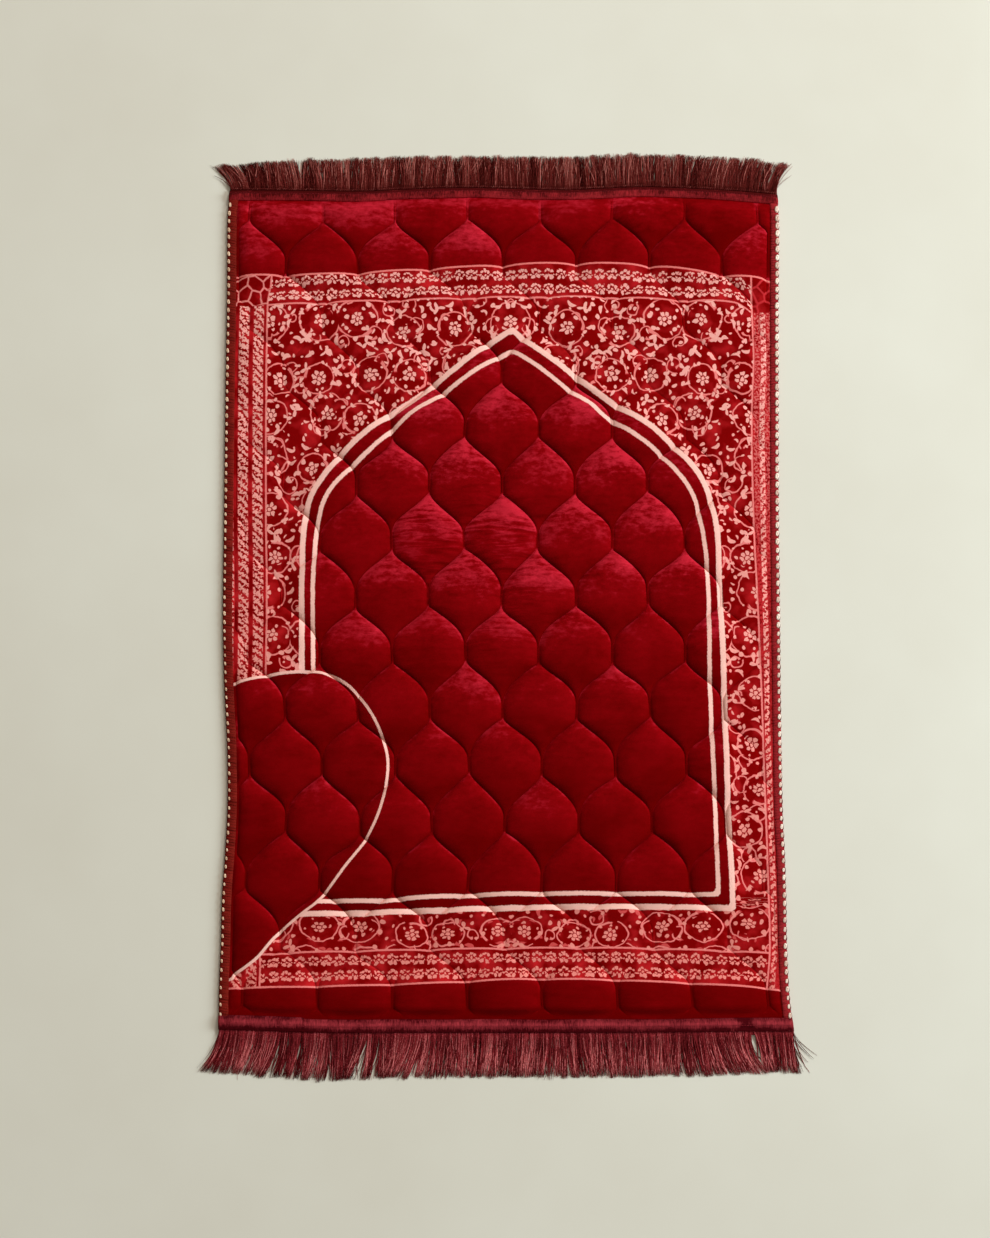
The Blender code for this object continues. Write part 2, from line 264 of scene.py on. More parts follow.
def sweep(lines, radii, sides):
    """The sections of tubes round centre lines: (tubes, stations, 3) makes (tubes, stations, sides, 3)."""
    radii = np.broadcast_to(radii, lines.shape[:2])
    ahead = np.gradient(lines, axis=1)
    ahead /= np.linalg.norm(ahead, axis=2, keepdims=True) + 1e-12
    up = np.zeros_like(ahead)
    up[..., 2] = 1
    flat = np.abs(ahead[..., 2]) > 0.95
    up[flat] = (1, 0, 0)
    side = np.cross(ahead, up)
    side /= np.linalg.norm(side, axis=2, keepdims=True) + 1e-12
    over = np.cross(side, ahead)
    turn = 2 * math.pi * np.arange(sides) / sides
    ring = (np.cos(turn)[:, None] * side[:, :, None, :] + np.sin(turn)[:, None] * over[:, :, None, :])
    return lines[:, :, None, :] + ring * radii[:, :, None, None]


def along_profile(profile, shares):
    """Points at shares of the way along an open outline of (out, z) points."""
    profile = np.array(profile, float)
    steps = np.hypot(*np.diff(profile, axis=0).T)
    marks = np.concatenate([[0], np.cumsum(steps)]) / steps.sum()
    return np.interp(shares, marks, profile[:, 0]), np.interp(shares, marks, profile[:, 1])


def bundle(x, y, z):
    """Many lines or sections at once, from coordinates that broadcast to (lines, points)."""
    return np.stack(np.broadcast_arrays(x, y, z), -1)


def stitch_row(step, points):
    """A row of stitches across the rug: the x of their middles, and shares from -1 to 1 along one."""
    middles = -HALF_WIDTH + step * (np.arange(int(RUG_WIDTH / step)) + 0.5)
    return middles[:, None], np.linspace(-1, 1, points)


def tube_faces(first, tubes, stations, sides):
    """The faces round closed tubes and over their ends. first is the number of their first point."""
    at = first + np.arange(tubes * stations * sides).reshape(tubes, stations, sides)
    ahead = np.roll(at, -1, axis=2)
    quads = np.stack([at[:, :-1], ahead[:, :-1], ahead[:, 1:], at[:, 1:]], -1)
    return quads.reshape(-1, 4).tolist() + at[:, 0, ::-1].tolist() + at[:, -1].tolist()


class Parts:
    """The closed tubes of one piece, gathered part by part."""

    def __init__(self):
        self.points, self.shade = np.zeros((0, 3)), np.zeros(0)
        self.faces, self.which = [], []

    def add(self, sections, shade, material=0):
        """Add tubes by their sections. The shade is one number, or one for each equal run of points."""
        faces = tube_faces(len(self.points), *sections.shape[:3])
        points, shades = sections.reshape(-1, 3), np.ravel(shade)
        self.points = np.concatenate([self.points, points])
        self.shade = np.concatenate([self.shade, np.repeat(shades, len(points) // len(shades))])
        self.faces += faces
        self.which += [material] * len(faces)

    def piece(self, name, node, slot, looks):
        """The finished piece, with each point's shade kept for its materials."""
        piece = new_piece(name, node, self.points, self.faces, looks, self.which)
        add_attribute(piece, "shade", self.shade)
        return piece


# ---------------------------------------------------------------- materials
class Value:
    """A number in a node graph, so that a pattern reads as a formula."""

    def __init__(self, tree, socket):
        self.tree, self.socket = tree, socket

    def made(self, operation, *others, clamp=False):
        """What a math node makes of this value and the others, which may be plain numbers."""
        node = self.tree.nodes.new("ShaderNodeMath")
        node.operation, node.use_clamp = operation, clamp
        for socket, given in zip(node.inputs, (self, *others)):
            if isinstance(given, Value):
                self.tree.links.new(given.socket, socket)
            else:
                socket.default_value = given
        return Value(self.tree, node.outputs[0])

    def __add__(self, other):
        return self.made("ADD", other)

    def __sub__(self, other):
        return self.made("SUBTRACT", other)

    def __rsub__(self, other):
        return self.made("MULTIPLY_ADD", -1.0, other)

    def __mul__(self, other):
        return self.made("MULTIPLY", other)

    def __truediv__(self, other):
        return self.made("DIVIDE", other)

    __radd__, __rmul__ = __add__, __mul__

    def size(self):
        return self.made("ABSOLUTE")

    def part(self):
        return self.made("FRACT")

    def sine(self):
        return self.made("SINE")

    def most(self, other):
        return self.made("MAXIMUM", other)

    def least(self, other):
        return self.made("MINIMUM", other)

    def on(self, softness):
        """0 well below zero, 1 well above it, soft over this width."""
        return self.made("MULTIPLY_ADD", 1.0 / softness, 0.5, clamp=True)

    def within(self, half, softness):
        """1 where this is less than half from zero."""
        return (half - self.size()).on(softness)


class Look:
    """One material's node graph."""

    def __init__(self, name):
        self.material = bpy.data.materials.new(name)
        self.material.use_nodes = True
        self.tree = self.material.node_tree
        self.shader = self.tree.nodes["Principled BSDF"]

    def fixed(self, **values):
        """Plain values on the shader's own sockets, named with _ for each space."""
        for name, value in values.items():
            self.shader.inputs[name.replace("_", " ")].default_value = value

    def node(self, kind, links=None, **settings):
        """A new node with these settings. links: its inputs, each a Value or a plain one."""
        node = self.tree.nodes.new(kind)
        for name, value in settings.items():
            setattr(node, name, value)
        for name, given in (links or {}).items():
            socket = node.inputs[name]
            if isinstance(given, Value):
                self.tree.links.new(given.socket, socket)
            else:
                socket.default_value = given
        return node

    def out(self, node, name):
        return Value(self.tree, node.outputs[name])

    def attribute(self, name):
        """The three numbers of a vector kept on the mesh."""
        node = self.node("ShaderNodeAttribute", attribute_name=name)
        split = self.node("ShaderNodeSeparateXYZ", {"Vector": self.out(node, "Vector")})
        return [self.out(split, axis) for axis in "XYZ"]

    def number(self, name):
        return self.out(self.node("ShaderNodeAttribute", attribute_name=name), "Fac")

    def place(self):
        """The point in the object's own metres."""
        node = self.node("ShaderNodeTexCoord")
        split = self.node("ShaderNodeSeparateXYZ", {"Vector": self.out(node, "Object")})
        return [self.out(split, axis) for axis in "XYZ"]

    def join(self, x, y, z=0.0):
        return self.out(self.node("ShaderNodeCombineXYZ", {"X": x, "Y": y, "Z": z}), "Vector")

    def noise(self, vector, scale, detail=2.0, roughness=0.5):
        links = {"Vector": vector, "Scale": scale, "Detail": detail, "Roughness": roughness}
        return self.out(self.node("ShaderNodeTexNoise", links), "Fac")

    def cloud(self, x, y, layer, scale, detail=2.0, roughness=0.5):
        """Noise over the plan. Each layer is another pattern."""
        return self.noise(self.join(x, y, layer), scale, detail, roughness)

    def cells(self, x, y, cell, randomness):
        """The cells of a loose grid: offset from the cell's middle, and three random numbers."""
        links = {"Vector": self.join(x, y), "Scale": 1.0 / cell, "Randomness": randomness}
        node = self.node("ShaderNodeTexVoronoi", links, voronoi_dimensions="2D", feature="F1")
        middle = self.node("ShaderNodeSeparateXYZ", {"Vector": self.out(node, "Position")})
        chance = self.node("ShaderNodeSeparateXYZ", {"Vector": self.out(node, "Color")})
        dx, dy = x - self.out(middle, "X"), y - self.out(middle, "Y")
        return dx, dy, [self.out(chance, axis) for axis in "XYZ"]

    def polar(self, dx, dy, turn=0.0):
        """Distance from the middle and the share of a turn round it, from 0 to 1."""
        radius = (dx * dx + dy * dy).made("SQRT")
        angle = dy.made("ARCTAN2", dx) * (0.5 / math.pi) + 0.5 + turn
        return radius, angle.part()

    def blend(self, share, low, high):
        """A colour between two, each a colour or the output of another blend."""
        node = self.node("ShaderNodeMix", data_type="RGBA", clamp_factor=True)
        for index, given in ((0, share), (6, low), (7, high)):
            if isinstance(given, Value):
                self.tree.links.new(given.socket, node.inputs[index])
            else:
                node.inputs[index].default_value = given if index == 0 else (*given, 1.0)
        return Value(self.tree, node.outputs[2])

    def paint(self, colour, height=None, depth=0.0):
        """Link the colour, and a bump of this height and depth, to the shader."""
        self.tree.links.new(colour.socket, self.shader.inputs["Base Color"])
        if height is not None:
            bump = self.node("ShaderNodeBump", {"Height": height, "Distance": depth, "Strength": 1.0})
            self.tree.links.new(bump.outputs["Normal"], self.shader.inputs["Normal"])
        return self.material


PALE_PRINT = (0.92, 0.52, 0.45)      # the thick lines of the arch
FLOWER_PRINT = (0.86, 0.40, 0.355)   # flowers, buds and leaves
FLOWER_AT_FOOT = (0.76, 0.235, 0.20)  # the same, fainter toward the foot end
LINE_PRINT = (0.76, 0.20, 0.185)     # thin lines and tendrils
BLUSH = (0.52, 0.026, 0.032)         # velvet that the print's edge has tinted
FIELD_DARK = (0.200, 0.0010, 0.0013)
FIELD_LIGHT = (0.53, 0.014, 0.018)
# The plain velvet from dark to light: the nap's patches and the domes' painted shade and highlights both
# run along these.
DARK_NAP_AND_SHADE = (0.125, 0.0004, 0.0005)
MIDDLE_NAP_AND_SHADE = (0.225, 0.0012, 0.0030)
LIGHT_NAP_AND_HIGHLIGHT = (0.480, 0.014, 0.030)
SOFT = 0.0006                        # how far a printed edge blurs
RING_CELL = 0.0575                   # from one ring of the scrolling pattern to the next
RING_SMALL = 0.0185                  # the smallest ring's radius
RING_LARGE = 0.0262


def ring_curl(look, x, y, cell, randomness, small, large, thick, opening):
    """Tendrils: one curl to a cell. Gives the curl, and the cell for a flower inside it."""
    dx, dy, chance = look.cells(x, y, cell, randomness)
    radius, turn = look.polar(dx, dy, chance[0])
    reach = (chance[1] * (large - small) + small) * (turn * opening + (1.0 - opening * 0.5))
    swell = (0.22 - turn).most(0.0) * (thick * 3.2) + thick / 2
    curl = (swell - (radius - reach).size()).on(0.0005) * (turn - 0.04).on(0.02)
    return curl, (radius, turn, chance)


def rosette(radius, turn, chance, size):
    """A flower of five to seven petals round a dark ring and a light middle."""
    count = (chance[2] * 2.99).made("FLOOR") + 5.0
    petals = (turn * count * math.pi).sine().size()
    edge = petals * (size * 0.35) + size * 0.65
    ring = (radius - size * 0.36).within(size * 0.07, 0.0004)
    gaps = (0.32 - petals).on(0.2) * (radius - size * 0.45).on(0.0005)
    return (edge - radius).on(0.0005) * (1.0 - ring) * (1.0 - gaps)


def sprouts(radius, turn, chance):
    """Small leaves that grow outward from a ring of the scrolling pattern, at a slant."""
    ring = chance[1] * (RING_LARGE - RING_SMALL) + RING_SMALL
    out = radius - ring - 0.0030
    beside = ((turn * 7.0 + chance[2] * 3.0).part() - 0.5) * (ring * (2 * math.pi / 7.0)) + out * 0.7
    far = (beside * beside / 0.0026 ** 2 + out * out / 0.0038 ** 2).made("SQRT")
    chosen = ((chance[0] * 5.0 + turn * 7.0).made("FLOOR").made("MODULO", 3.0) - 1.0).most(0.0)
    return (1.0 - far).on(0.25) * chosen


def leaves(look, x, y, cell, long, wide, bend):
    """Loose leaves and buds: one bent ellipse to a cell, each with its own turn and size."""
    dx, dy, chance = look.cells(x, y, cell, 0.85)
    angle = chance[0] * (2 * math.pi)
    cosine, sine = angle.made("COSINE"), angle.sine()
    along = dx * cosine + dy * sine
    over = dy * cosine - dx * sine + along * along * bend
    far = (along * along / long ** 2 + over * over / wide ** 2).made("SQRT")
    return (chance[1] * 0.60 + 0.42 - far).on(SOFT / wide)


BAND_MIDDLE = -0.4010                # y of the middle of the band below the arch
BAND_STRETCH = 1.30                  # its rings are this much flatter than those of the field
BAND_RINGS = RING_CELL * 8.84        # where in the loose grid the band's one row of rings is read
FLOWER_SIZE = 0.0092
FLOWER_CLEAR, RING_CLEAR = 0.0108, 0.0170     # radii within which no leaf and no curl grows


def field_print(look, x, y, sparse):
    """The scrolling pattern round the arch: rings with a flower in each, small curls, leaves, buds."""
    band_y = (y - BAND_MIDDLE) * BAND_STRETCH - BAND_RINGS
    ring_y = y + (band_y - y) * sparse
    sizes = (RING_CELL, 0.42, RING_SMALL, RING_LARGE, 0.0020, 0.17)
    ring, (radius, turn, chance) = ring_curl(look, x, ring_y, *sizes)
    sprout = sprouts(radius, turn, chance)
    ragged = look.cloud(x, y, 8.0, 230.0) - 0.5
    flower = rosette(radius + ragged * 0.0062, turn, chance, FLOWER_SIZE)
    away_from_flower = (radius - FLOWER_CLEAR).on(0.001)
    outside_ring = (radius - RING_CLEAR).on(0.001)
    curl, _ = ring_curl(look, x + 0.311, y + 0.127, 0.041, 0.9, 0.0052, 0.0100, 0.0018, 0.75)
    bud = leaves(look, x, y, 0.0143, 0.0036, 0.0029, 40.0)
    leaf = leaves(look, x + 0.171, y + 0.233, 0.0200, 0.0068, 0.0027, 80.0)
    large = (leaf * (1.0 - sparse * 0.4)).most(stars(look, x, y)) * outside_ring
    loose = bud.most(large).most(sprout * (1.0 - sparse))
    return ring.most(curl * outside_ring), flower.most(loose * away_from_flower)


def stars(look, x, y):
    """Small three-pointed blossoms in three of four cells of a loose grid."""
    dx, dy, chance = look.cells(x + 0.083, y + 0.051, 0.041, 0.8)
    reach, turn = look.polar(dx, dy, chance[2])
    points = (turn * (math.pi * 3)).sine().size()
    return (points * points * points * 0.0072 + 0.0014 - reach).on(SOFT) * (chance[0] - 0.25).on(0.05)


SPRIG = ((0.0000, 0.0046, 0.0022), (0.0041, 0.0030, 0.0022), (0.0000, -0.0003, 0.0015),
         (0.0030, -0.0036, 0.0028), (0.0066, -0.0008, 0.0014))  # beside, above, radius
SPRIG_STEP = 0.0162
SPRIG_RAGGED = 0.0060
ROW_WIDTH = 0.0176
ROW_START = 0.0022                   # from the frame's inner line to the first row


def end_rows(look, at):
    """Two rows of small sprays along both ends, each the same to the left and the right."""
    row_from = (at.across * -1.0 - ROW_START) / ROW_WIDTH
    place = ((at.px - 0.002 + at.wander * 0.005) / SPRIG_STEP).part() - 0.5
    ragged = look.cloud(at.px, at.py, 0.0, 230.0, 1.0) - 0.5
    sunk = look.cloud(at.py, at.px, 13.0, 150.0, 1.0) - 0.5
    above = (row_from.part() - 0.5) * ROW_WIDTH * at.py.made("SIGN")
    above = above + at.fray * 0.0030 + sunk * SPRIG_RAGGED
    beside = (place * SPRIG_STEP).size() + ragged * SPRIG_RAGGED
    spray = None
    for dx, dy, size in SPRIG:
        over, up = beside - dx, above - dy
        dot = (size - (over * over + up * up * 1.4).made("SQRT")).on(SOFT)
        spray = dot if spray is None else spray.most(dot)
    return spray * row_from.on(0.03) * (2.0 - row_from).on(0.03)


STROKE_STEP = 0.0104                 # from one stroke of a twisted column to the next
ROPE_STEP = 0.0185                   # from one column to the next
ROPE_START = 0.0025
CHAIN_OUT, CHAIN_DRIFT = 0.0060, 0.0070       # the beads' row, and how far it moves out toward the head
BOX_SCALE = 62.0


def side_columns(look, at):
    """Twisted columns down the left side, beads and flecks down the right, boxes of cells above."""
    px, py = at.px, at.py
    side = at.left.least(at.right) * -1.0
    on_left = 1.0 - at.left.on(SOFT)
    slant = (py - side * 0.85) / STROKE_STEP + at.wander * 1.6
    speckle = look.cloud(px, py, 6.0, 330.0, 1.0) - 0.5
    stroke = 0.30 - (slant.part() - 0.5).size() + at.fray * 0.9 + speckle * 1.5
    rope_place = (side - ROPE_START) / ROPE_STEP
    rope = (rope_place.part() - 0.44).within(0.36, 0.10) * rope_place.on(0.02)
    toward_head = py.on(0.30)
    chain = (side - CHAIN_OUT - toward_head * CHAIN_DRIFT).within(0.0036, 0.0014)
    flecks = (look.cloud(px, py, 11.0, 330.0) - 0.47).on(0.14)
    flecks = flecks * (side - 0.0015).on(0.001) * (toward_head * 0.36 + 0.28)
    right_column = (stroke.on(0.20) * chain).most(flecks)
    beside = stroke.on(0.18) * rope * on_left + right_column * (1.0 - on_left)
    in_box = (at.top_in * -1.0 - 0.0008).on(SOFT)
    return beside * (1.0 - in_box) + cell_web(look, at) * (on_left * 0.28 + 0.50) * in_box


def cell_web(look, at):
    """The thin lines between the cells that fill the frame's top corners."""
    links = {"Vector": look.join(at.px + at.wander * 0.006, at.py), "Scale": BOX_SCALE, "Randomness": 0.85}
    web = look.node("ShaderNodeTexVoronoi", links, voronoi_dimensions="2D", feature="DISTANCE_TO_EDGE")
    return look.out(web, "Distance").within(0.075, 0.06)


SEAM_VALLEY = 0.0075                 # how far from a seam its shade reaches
HEAD_SHADE_Y = 0.5140                # from here to the head, the tape's side of the last domes


def tape_light(px, py):
    """What the head end adds to the pile's tone: lighter beside the tape, a painted shadow over the domes
    to the right, and darker at the far left.
    """
    at_tape = (py - HEAD_SHADE_Y).on(0.008)
    # painted shadow over the last domes on the right side of the head end
    shaded = (px - 0.1200).on(0.160) * (py - 0.4700).on(0.050) * 0.24
    return at_tape * 0.12 - shaded - (px * -1.0 - 0.1800).on(0.120) * at_tape * 0.30


def nap_and_shade_of(look, at):
    """How light the pile looks: brushed patches and creases, with painted highlight below each dome's tip,
    on slopes facing the head and along the seams, and painted shade in the seam valleys.
    """
    px, py, slope_y = at.px, at.py, at.slope_y
    gleam, creased = look.number("gleam"), look.number("creased")
    patch = look.cloud(px, py * 1.4, 1.0, 15.0, 4.0, 0.6)
    mottle = look.cloud(px * 0.55, py, 7.0, 170.0, 4.0, 0.68)
    brushed = look.cloud(px * 0.15, py, 5.0, 120.0)
    pile = look.cloud(px, py, 2.0, 1500.0)
    folds = (1.0 - (brushed - 0.5).size() * 7.0).most(-0.8)
    streaked = (look.cloud(px, py, 9.0, 10.0, 1.0) - 0.50).on(0.10)
    streaks = folds * creased * 0.30 + (brushed - 0.5) * streaked * 0.30
    broken = (look.cloud(px, py, 3.0, 48.0) - 0.50).on(0.12)
    # painted highlight: a thin broken rim along each seam, on the slopes that face the rug's head
    rim = (0.0030 - at.seam).on(0.0030) * (slope_y * -2.2 - 0.12 + at.fray).on(0.3) * broken
    # painted shade in the seam valleys, on the lower part of each dome
    valley_shade = (SEAM_VALLEY - at.seam).most(0.0) * 133.0     # 1 on the seam
    valley_shade = valley_shade * valley_shade * (at.past - 0.38).on(0.35)
    uneven = (py + 0.35).on(0.5) * 0.35 + 0.55
    # painted highlight and shade: the gleam below each dome's tip, and slopes facing the head lighter than
    # those facing the foot
    nap_and_shade = (patch - 0.5) * uneven + streaks + gleam * (patch + 0.25) * 0.60 + slope_y * -0.13
    nap_and_shade = nap_and_shade + (mottle - 0.5) * (gleam.most(0.0) * 1.3 + 0.25) + (pile - 0.5) * 0.22 + rim * 0.22
    nap_and_shade = nap_and_shade + tape_light(px, py) - valley_shade * 0.17 + 0.165
    return nap_and_shade, pile * 0.5 + streaks * 0.9 + patch * 0.3


MARKS = {  # what build_mat keeps on the mesh: each vector's name, and what its three numbers are
    "print_place": ("px", "py", "pz"),
    "relief": ("past", "slope_y", "seam"),
    "arch_lines": ("outer", "inner", "panel"),
    "frame_near": ("left", "right", "top_in"),
    "frame_far": ("bottom_in", "top_out", "bottom_out"),
}


def read_marks(look):
    """The numbers of MARKS at the shaded point, and the zones of the print that follow from them."""
    at = SimpleNamespace()
    for vector, names in MARKS.items():
        vars(at).update(zip(names, look.attribute(vector)))
    at.across = at.top_in.least(at.bottom_in)
    at.inside = at.top_out.least(at.bottom_out).on(SOFT)
    at.between = at.left.least(at.right).on(SOFT)
    at.open_cloth = at.panel.on(SOFT)
    at.free = at.open_cloth * at.outer.on(SOFT)
    at.field = at.between * at.across.on(SOFT) * at.outer.on(SOFT) * at.inside
    at.rows = at.between * (1.0 - at.across.on(SOFT)) * at.inside
    at.columns = (1.0 - at.between) * at.inside

    # a slight wander of every printed edge, as the dye sits in the pile
    at.wander = look.cloud(at.px, at.py, 0.0, 55.0) - 0.5
    at.fray = look.cloud(at.px, at.py, 0.0, 420.0) - 0.5
    at.edge = at.fray * 0.0010
    return at


THIN_LINE, PANEL_LINE = 0.0012, 0.0017      # half widths of the printed lines
OUTER_LINE, INNER_LINE = 0.0034, 0.0026


def frame_lines(at):
    """The thin lines of the frame: two down the sides, two across, and one along each end."""
    names = ("left", "right", "across", "top_out", "bottom_out")
    left, right, across, top, bottom = ((vars(at)[n] + at.edge).within(THIN_LINE, SOFT) for n in names)
    return (left.most(right) * at.inside).most(across * at.between).most(top.most(bottom)) * at.free


def thick_lines(at):
    """The arch's pair of pale lines, and the line round the plain corner."""
    bleed = at.wander * 0.0016 + at.edge * 1.6
    outer = (at.outer - 0.0004 + bleed).within(OUTER_LINE, 0.0009)
    inner = (at.inner + bleed).within(INNER_LINE, 0.0009)
    round_panel = (at.panel + at.edge).within(PANEL_LINE, SOFT) * (at.bottom_out + 0.001).on(SOFT)
    return (outer.most(inner) * at.open_cloth).most(round_panel)


def velvet():
    """The printed velour. Its lines and zones are read from distances kept on the mesh."""
    look = Look("printed_velour")
    at = read_marks(look)
    px, py, free = at.px, at.py, at.free
    x = (px - PRINT_MIDDLE_X).size() + at.wander * 0.0080
    y = py + (look.cloud(py, px, 3.0, 55.0) - 0.5) * 0.0080

    # where the ink is
    sparse = (py * -1.0 - 0.365).on(0.01)
    tendrils, blooms = field_print(look, x, y, sparse)
    sprays, columns = end_rows(look, at), side_columns(look, at)
    bloom_ink = (blooms * at.field + sprays * at.rows + columns * at.columns) * free
    lines = (tendrils * at.field * free).most(frame_lines(at))
    patterned = at.field.most(at.rows).most(at.columns) * free

    # the cloth's colour, plain and under the print, with the domes' painted highlights and shade in it
    nap_and_shade, height = nap_and_shade_of(look, at)
    plain = look.blend(nap_and_shade * 2.0 - 1.0, look.blend(nap_and_shade * 2.0, DARK_NAP_AND_SHADE, MIDDLE_NAP_AND_SHADE), LIGHT_NAP_AND_HIGHLIGHT)
    dyed = at.rows.most(at.columns * at.top_in.on(SOFT)) * 0.22
    tint = (look.cloud(x, y, 4.0, 42.0) - 0.49) * 2.8 + nap_and_shade * 0.08 + dyed
    colour = look.blend(patterned, plain, look.blend(tint, FIELD_DARK, FIELD_LIGHT))

    # the ink over it, weaker where the nap and the painted shade darken the pile
    strength = (nap_and_shade * 0.08 + 0.90).least(1.0)
    flower_colour = look.blend((py + 0.05).on(0.9), FLOWER_AT_FOOT, FLOWER_PRINT)
    colour = look.blend(lines.most(bloom_ink) * 1.8, colour, BLUSH)
    colour = look.blend((lines * 2.0 - 1.0) * strength, colour, LINE_PRINT)
    colour = look.blend((bloom_ink * 2.0 - 1.0) * strength, colour, flower_colour)
    colour = look.blend(thick_lines(at) * strength, colour, PALE_PRINT)
    look.fixed(Roughness=0.9, Sheen_Weight=0.30, Sheen_Roughness=0.35, Specular_IOR_Level=0.0)
    look.fixed(Sheen_Tint=(0.9, 0.05, 0.08, 1.0))
    return look.paint(colour, height, 0.0009)


THREAD_FINISH = {"Roughness": 0.75, "Specular_IOR_Level": 0.06}


def yarn_look(name, dark, light, scale, middle=None):
    """Twisted thread: each strand has its own shade, kept on the mesh as a number."""
    look = Look(name)
    fibre = look.noise(look.join(*look.place()), scale, 3.0, 0.6)
    mix = look.number("shade") * 0.75 + (fibre - 0.5) * 0.9 + 0.1
    if middle is None:
        colour = look.blend(mix, dark, light)
    else:
        colour = look.blend(mix * 2.0 - 1.0, look.blend(mix * 2.0, dark, middle), light)
    look.fixed(Specular_Tint=(*light, 1.0), **THREAD_FINISH)
    return look.paint(colour, fibre, 0.0005)


TWILL_STEP, WARP_STEP = 0.0013, 0.0008


def tape_look(name, dark, light):
    """The burgundy binding: a close twill, rubbed and soiled, lighter and darker where the mesh's shade
    says, which holds the roll's painted highlight and shade.
    """
    look = Look(name)
    x, y, z = look.place()
    place = look.join(x, y, z)
    twill = ((x + y * 0.8 + z) * (2 * math.pi / TWILL_STEP)).sine()
    warp = (x * (2 * math.pi / WARP_STEP)).sine()
    wear = look.noise(place, 60.0, 3.0, 0.6)
    fluff = look.noise(place, 900.0)
    streak = look.noise(look.join(x * 2.2, y * 0.3, z), 420.0)
    mix = (wear - 0.5) * 1.4 + (streak - 0.5) * 1.5 + twill * 0.05 + look.number("shade") - 0.05
    look.fixed(Specular_Tint=(*light, 1.0), **THREAD_FINISH)
    height = twill * 0.20 + warp * 0.12 + fluff * 0.8 + streak * 0.6
    return look.paint(look.blend(mix, dark, light), height, 0.0006)


# ---------------------------------------------------------------- the quilted mat
def seam_lines(y):
    """Where each wavy seam is, for every row of points. (rows, seams)."""
    first = math.floor((-FLANGE_X - LATTICE_X) / HALF_PITCH)
    last = math.ceil((FLANGE_X - LATTICE_X) / HALF_PITCH) - 1
    lines = np.arange(first, last + 1)[None, :]
    down = ((TOP_TIPS_Y - y) / ROW_PITCH)[:, None]
    row = np.floor(down + 1e-6)
    share = np.clip((down - row) / SHOULDER_END, 0, 1)
    shoulder = SHOULDER_POWER + 0.28 * np.sin(2.1 * row + 1.7 * lines)
    swing = np.sin(math.pi / 2 * share) ** shoulder
    travel = np.where((row + lines) % 2 == 1, swing, 1 - swing)
    reach = HALF_PITCH - 2 * SEAM_HALF_GAP
    seams = LATTICE_X + lines * HALF_PITCH + SEAM_HALF_GAP + reach * travel
    keep_in = FLANGE_X - BORDER_MARGIN
    return np.clip(seams, -keep_in, keep_in), first


def spread(count, ends):
    """Shares from 0 to 1, with the steps at both ends this much shorter than the middle ones."""
    steps = np.ones(count)
    steps[:len(ends)] = ends
    steps[-len(ends):] = ends[::-1]
    return np.concatenate([[0], np.cumsum(steps) / steps.sum()])


MAT_ROW_STEP = ROW_PITCH / 20
UNDERSIDE_ROWS = 8           # rows of the velour over one strip of the underside
LAST_TIPS = 14               # from this row down, nothing rises between the seams
DOME_DEPTH = 1.7             # rows from a dome's tip to where it ends
SEAM_Z = 0.0046
PUFF = 0.0069                # how far a full dome rises over its seams
PRINT_PULL = 0.0025          # how far the print leans toward the head on a full dome
PRINT_STIFFNESS = 0.58       # share of their height that domes under the print lose
FLANGE_STEPS, BORDER_STEPS = spread(3, [1.0]), spread(8, [0.5, 0.8])
DOME_STEPS = spread(18, [0.2, 0.4, 0.7])
ARCH_RING = rounded(ARCH_OUTER, corners=(0, 12, 18))
INNER_RING = rounded(ARCH_INNER, corners=(0, 13, 19))
PANEL_RING = rounded(CORNER_PANEL, corners=(0, 22))


def mat_rows():
    """The y of each row of points: close rows on the quilting, a few more over each end's flange."""
    rows_up = math.floor((HEAD_FLANGE - TOP_TIPS_Y) / MAT_ROW_STEP)
    rows_down = math.floor((TOP_TIPS_Y - FOOT_FLANGE) / MAT_ROW_STEP)
    quilted = TOP_TIPS_Y + np.arange(-rows_down, rows_up + 1) * MAT_ROW_STEP
    lower = np.linspace(MAT_FOOT, quilted[0], 5)[:-1]
    upper = np.linspace(quilted[-1], MAT_HEAD, 5)[1:]
    return np.concatenate([lower, quilted, upper])


def mat_grid():
    """The cloth's points before it is raised, closer together beside each seam."""
    y = mat_rows()
    seams, first = seam_lines(y)
    edges = [np.full((len(y), 1), x) for x in (-MAT_HALF_WIDTH, -FLANGE_X, FLANGE_X, MAT_HALF_WIDTH)]
    walls = np.concatenate([*edges[:2], seams, *edges[2:]], axis=1)
    domes = walls.shape[1] - 5
    steps = [FLANGE_STEPS, BORDER_STEPS, *[DOME_STEPS] * domes, BORDER_STEPS, FLANGE_STEPS]
    strips = []
    for index, share in enumerate(steps):
        left, right = walls[:, index:index + 1], walls[:, index + 1:index + 2]
        if index < len(steps) - 1:
            share = share[:-1]
        x = left + (right - left) * share
        strips.append(np.broadcast_arrays(x, right - left, share, first + index - 2))
    x, width, share, cell = (np.concatenate(parts, axis=1) for parts in zip(*strips))
    y = np.broadcast_to(y[:, None], x.shape)
    down = (TOP_TIPS_Y - y) / ROW_PITCH
    row = np.floor(down + 1e-6)
    tip_row = row - (row + cell) % 2
    return SimpleNamespace(
        x=x, y=y, width=width, share=share, cell=cell, tip_row=tip_row,
        past=(down - tip_row) / DOME_DEPTH,
        seam_away=np.minimum(share, 1 - share) * width,
        end_away=np.minimum(HEAD_FLANGE - y, y - FOOT_FLANGE),
        side_away=FLANGE_X - np.abs(x),
        pillow=np.clip(1 - np.abs(2 * share - 1) ** 2.5, 0, 1) ** 0.66,
    )


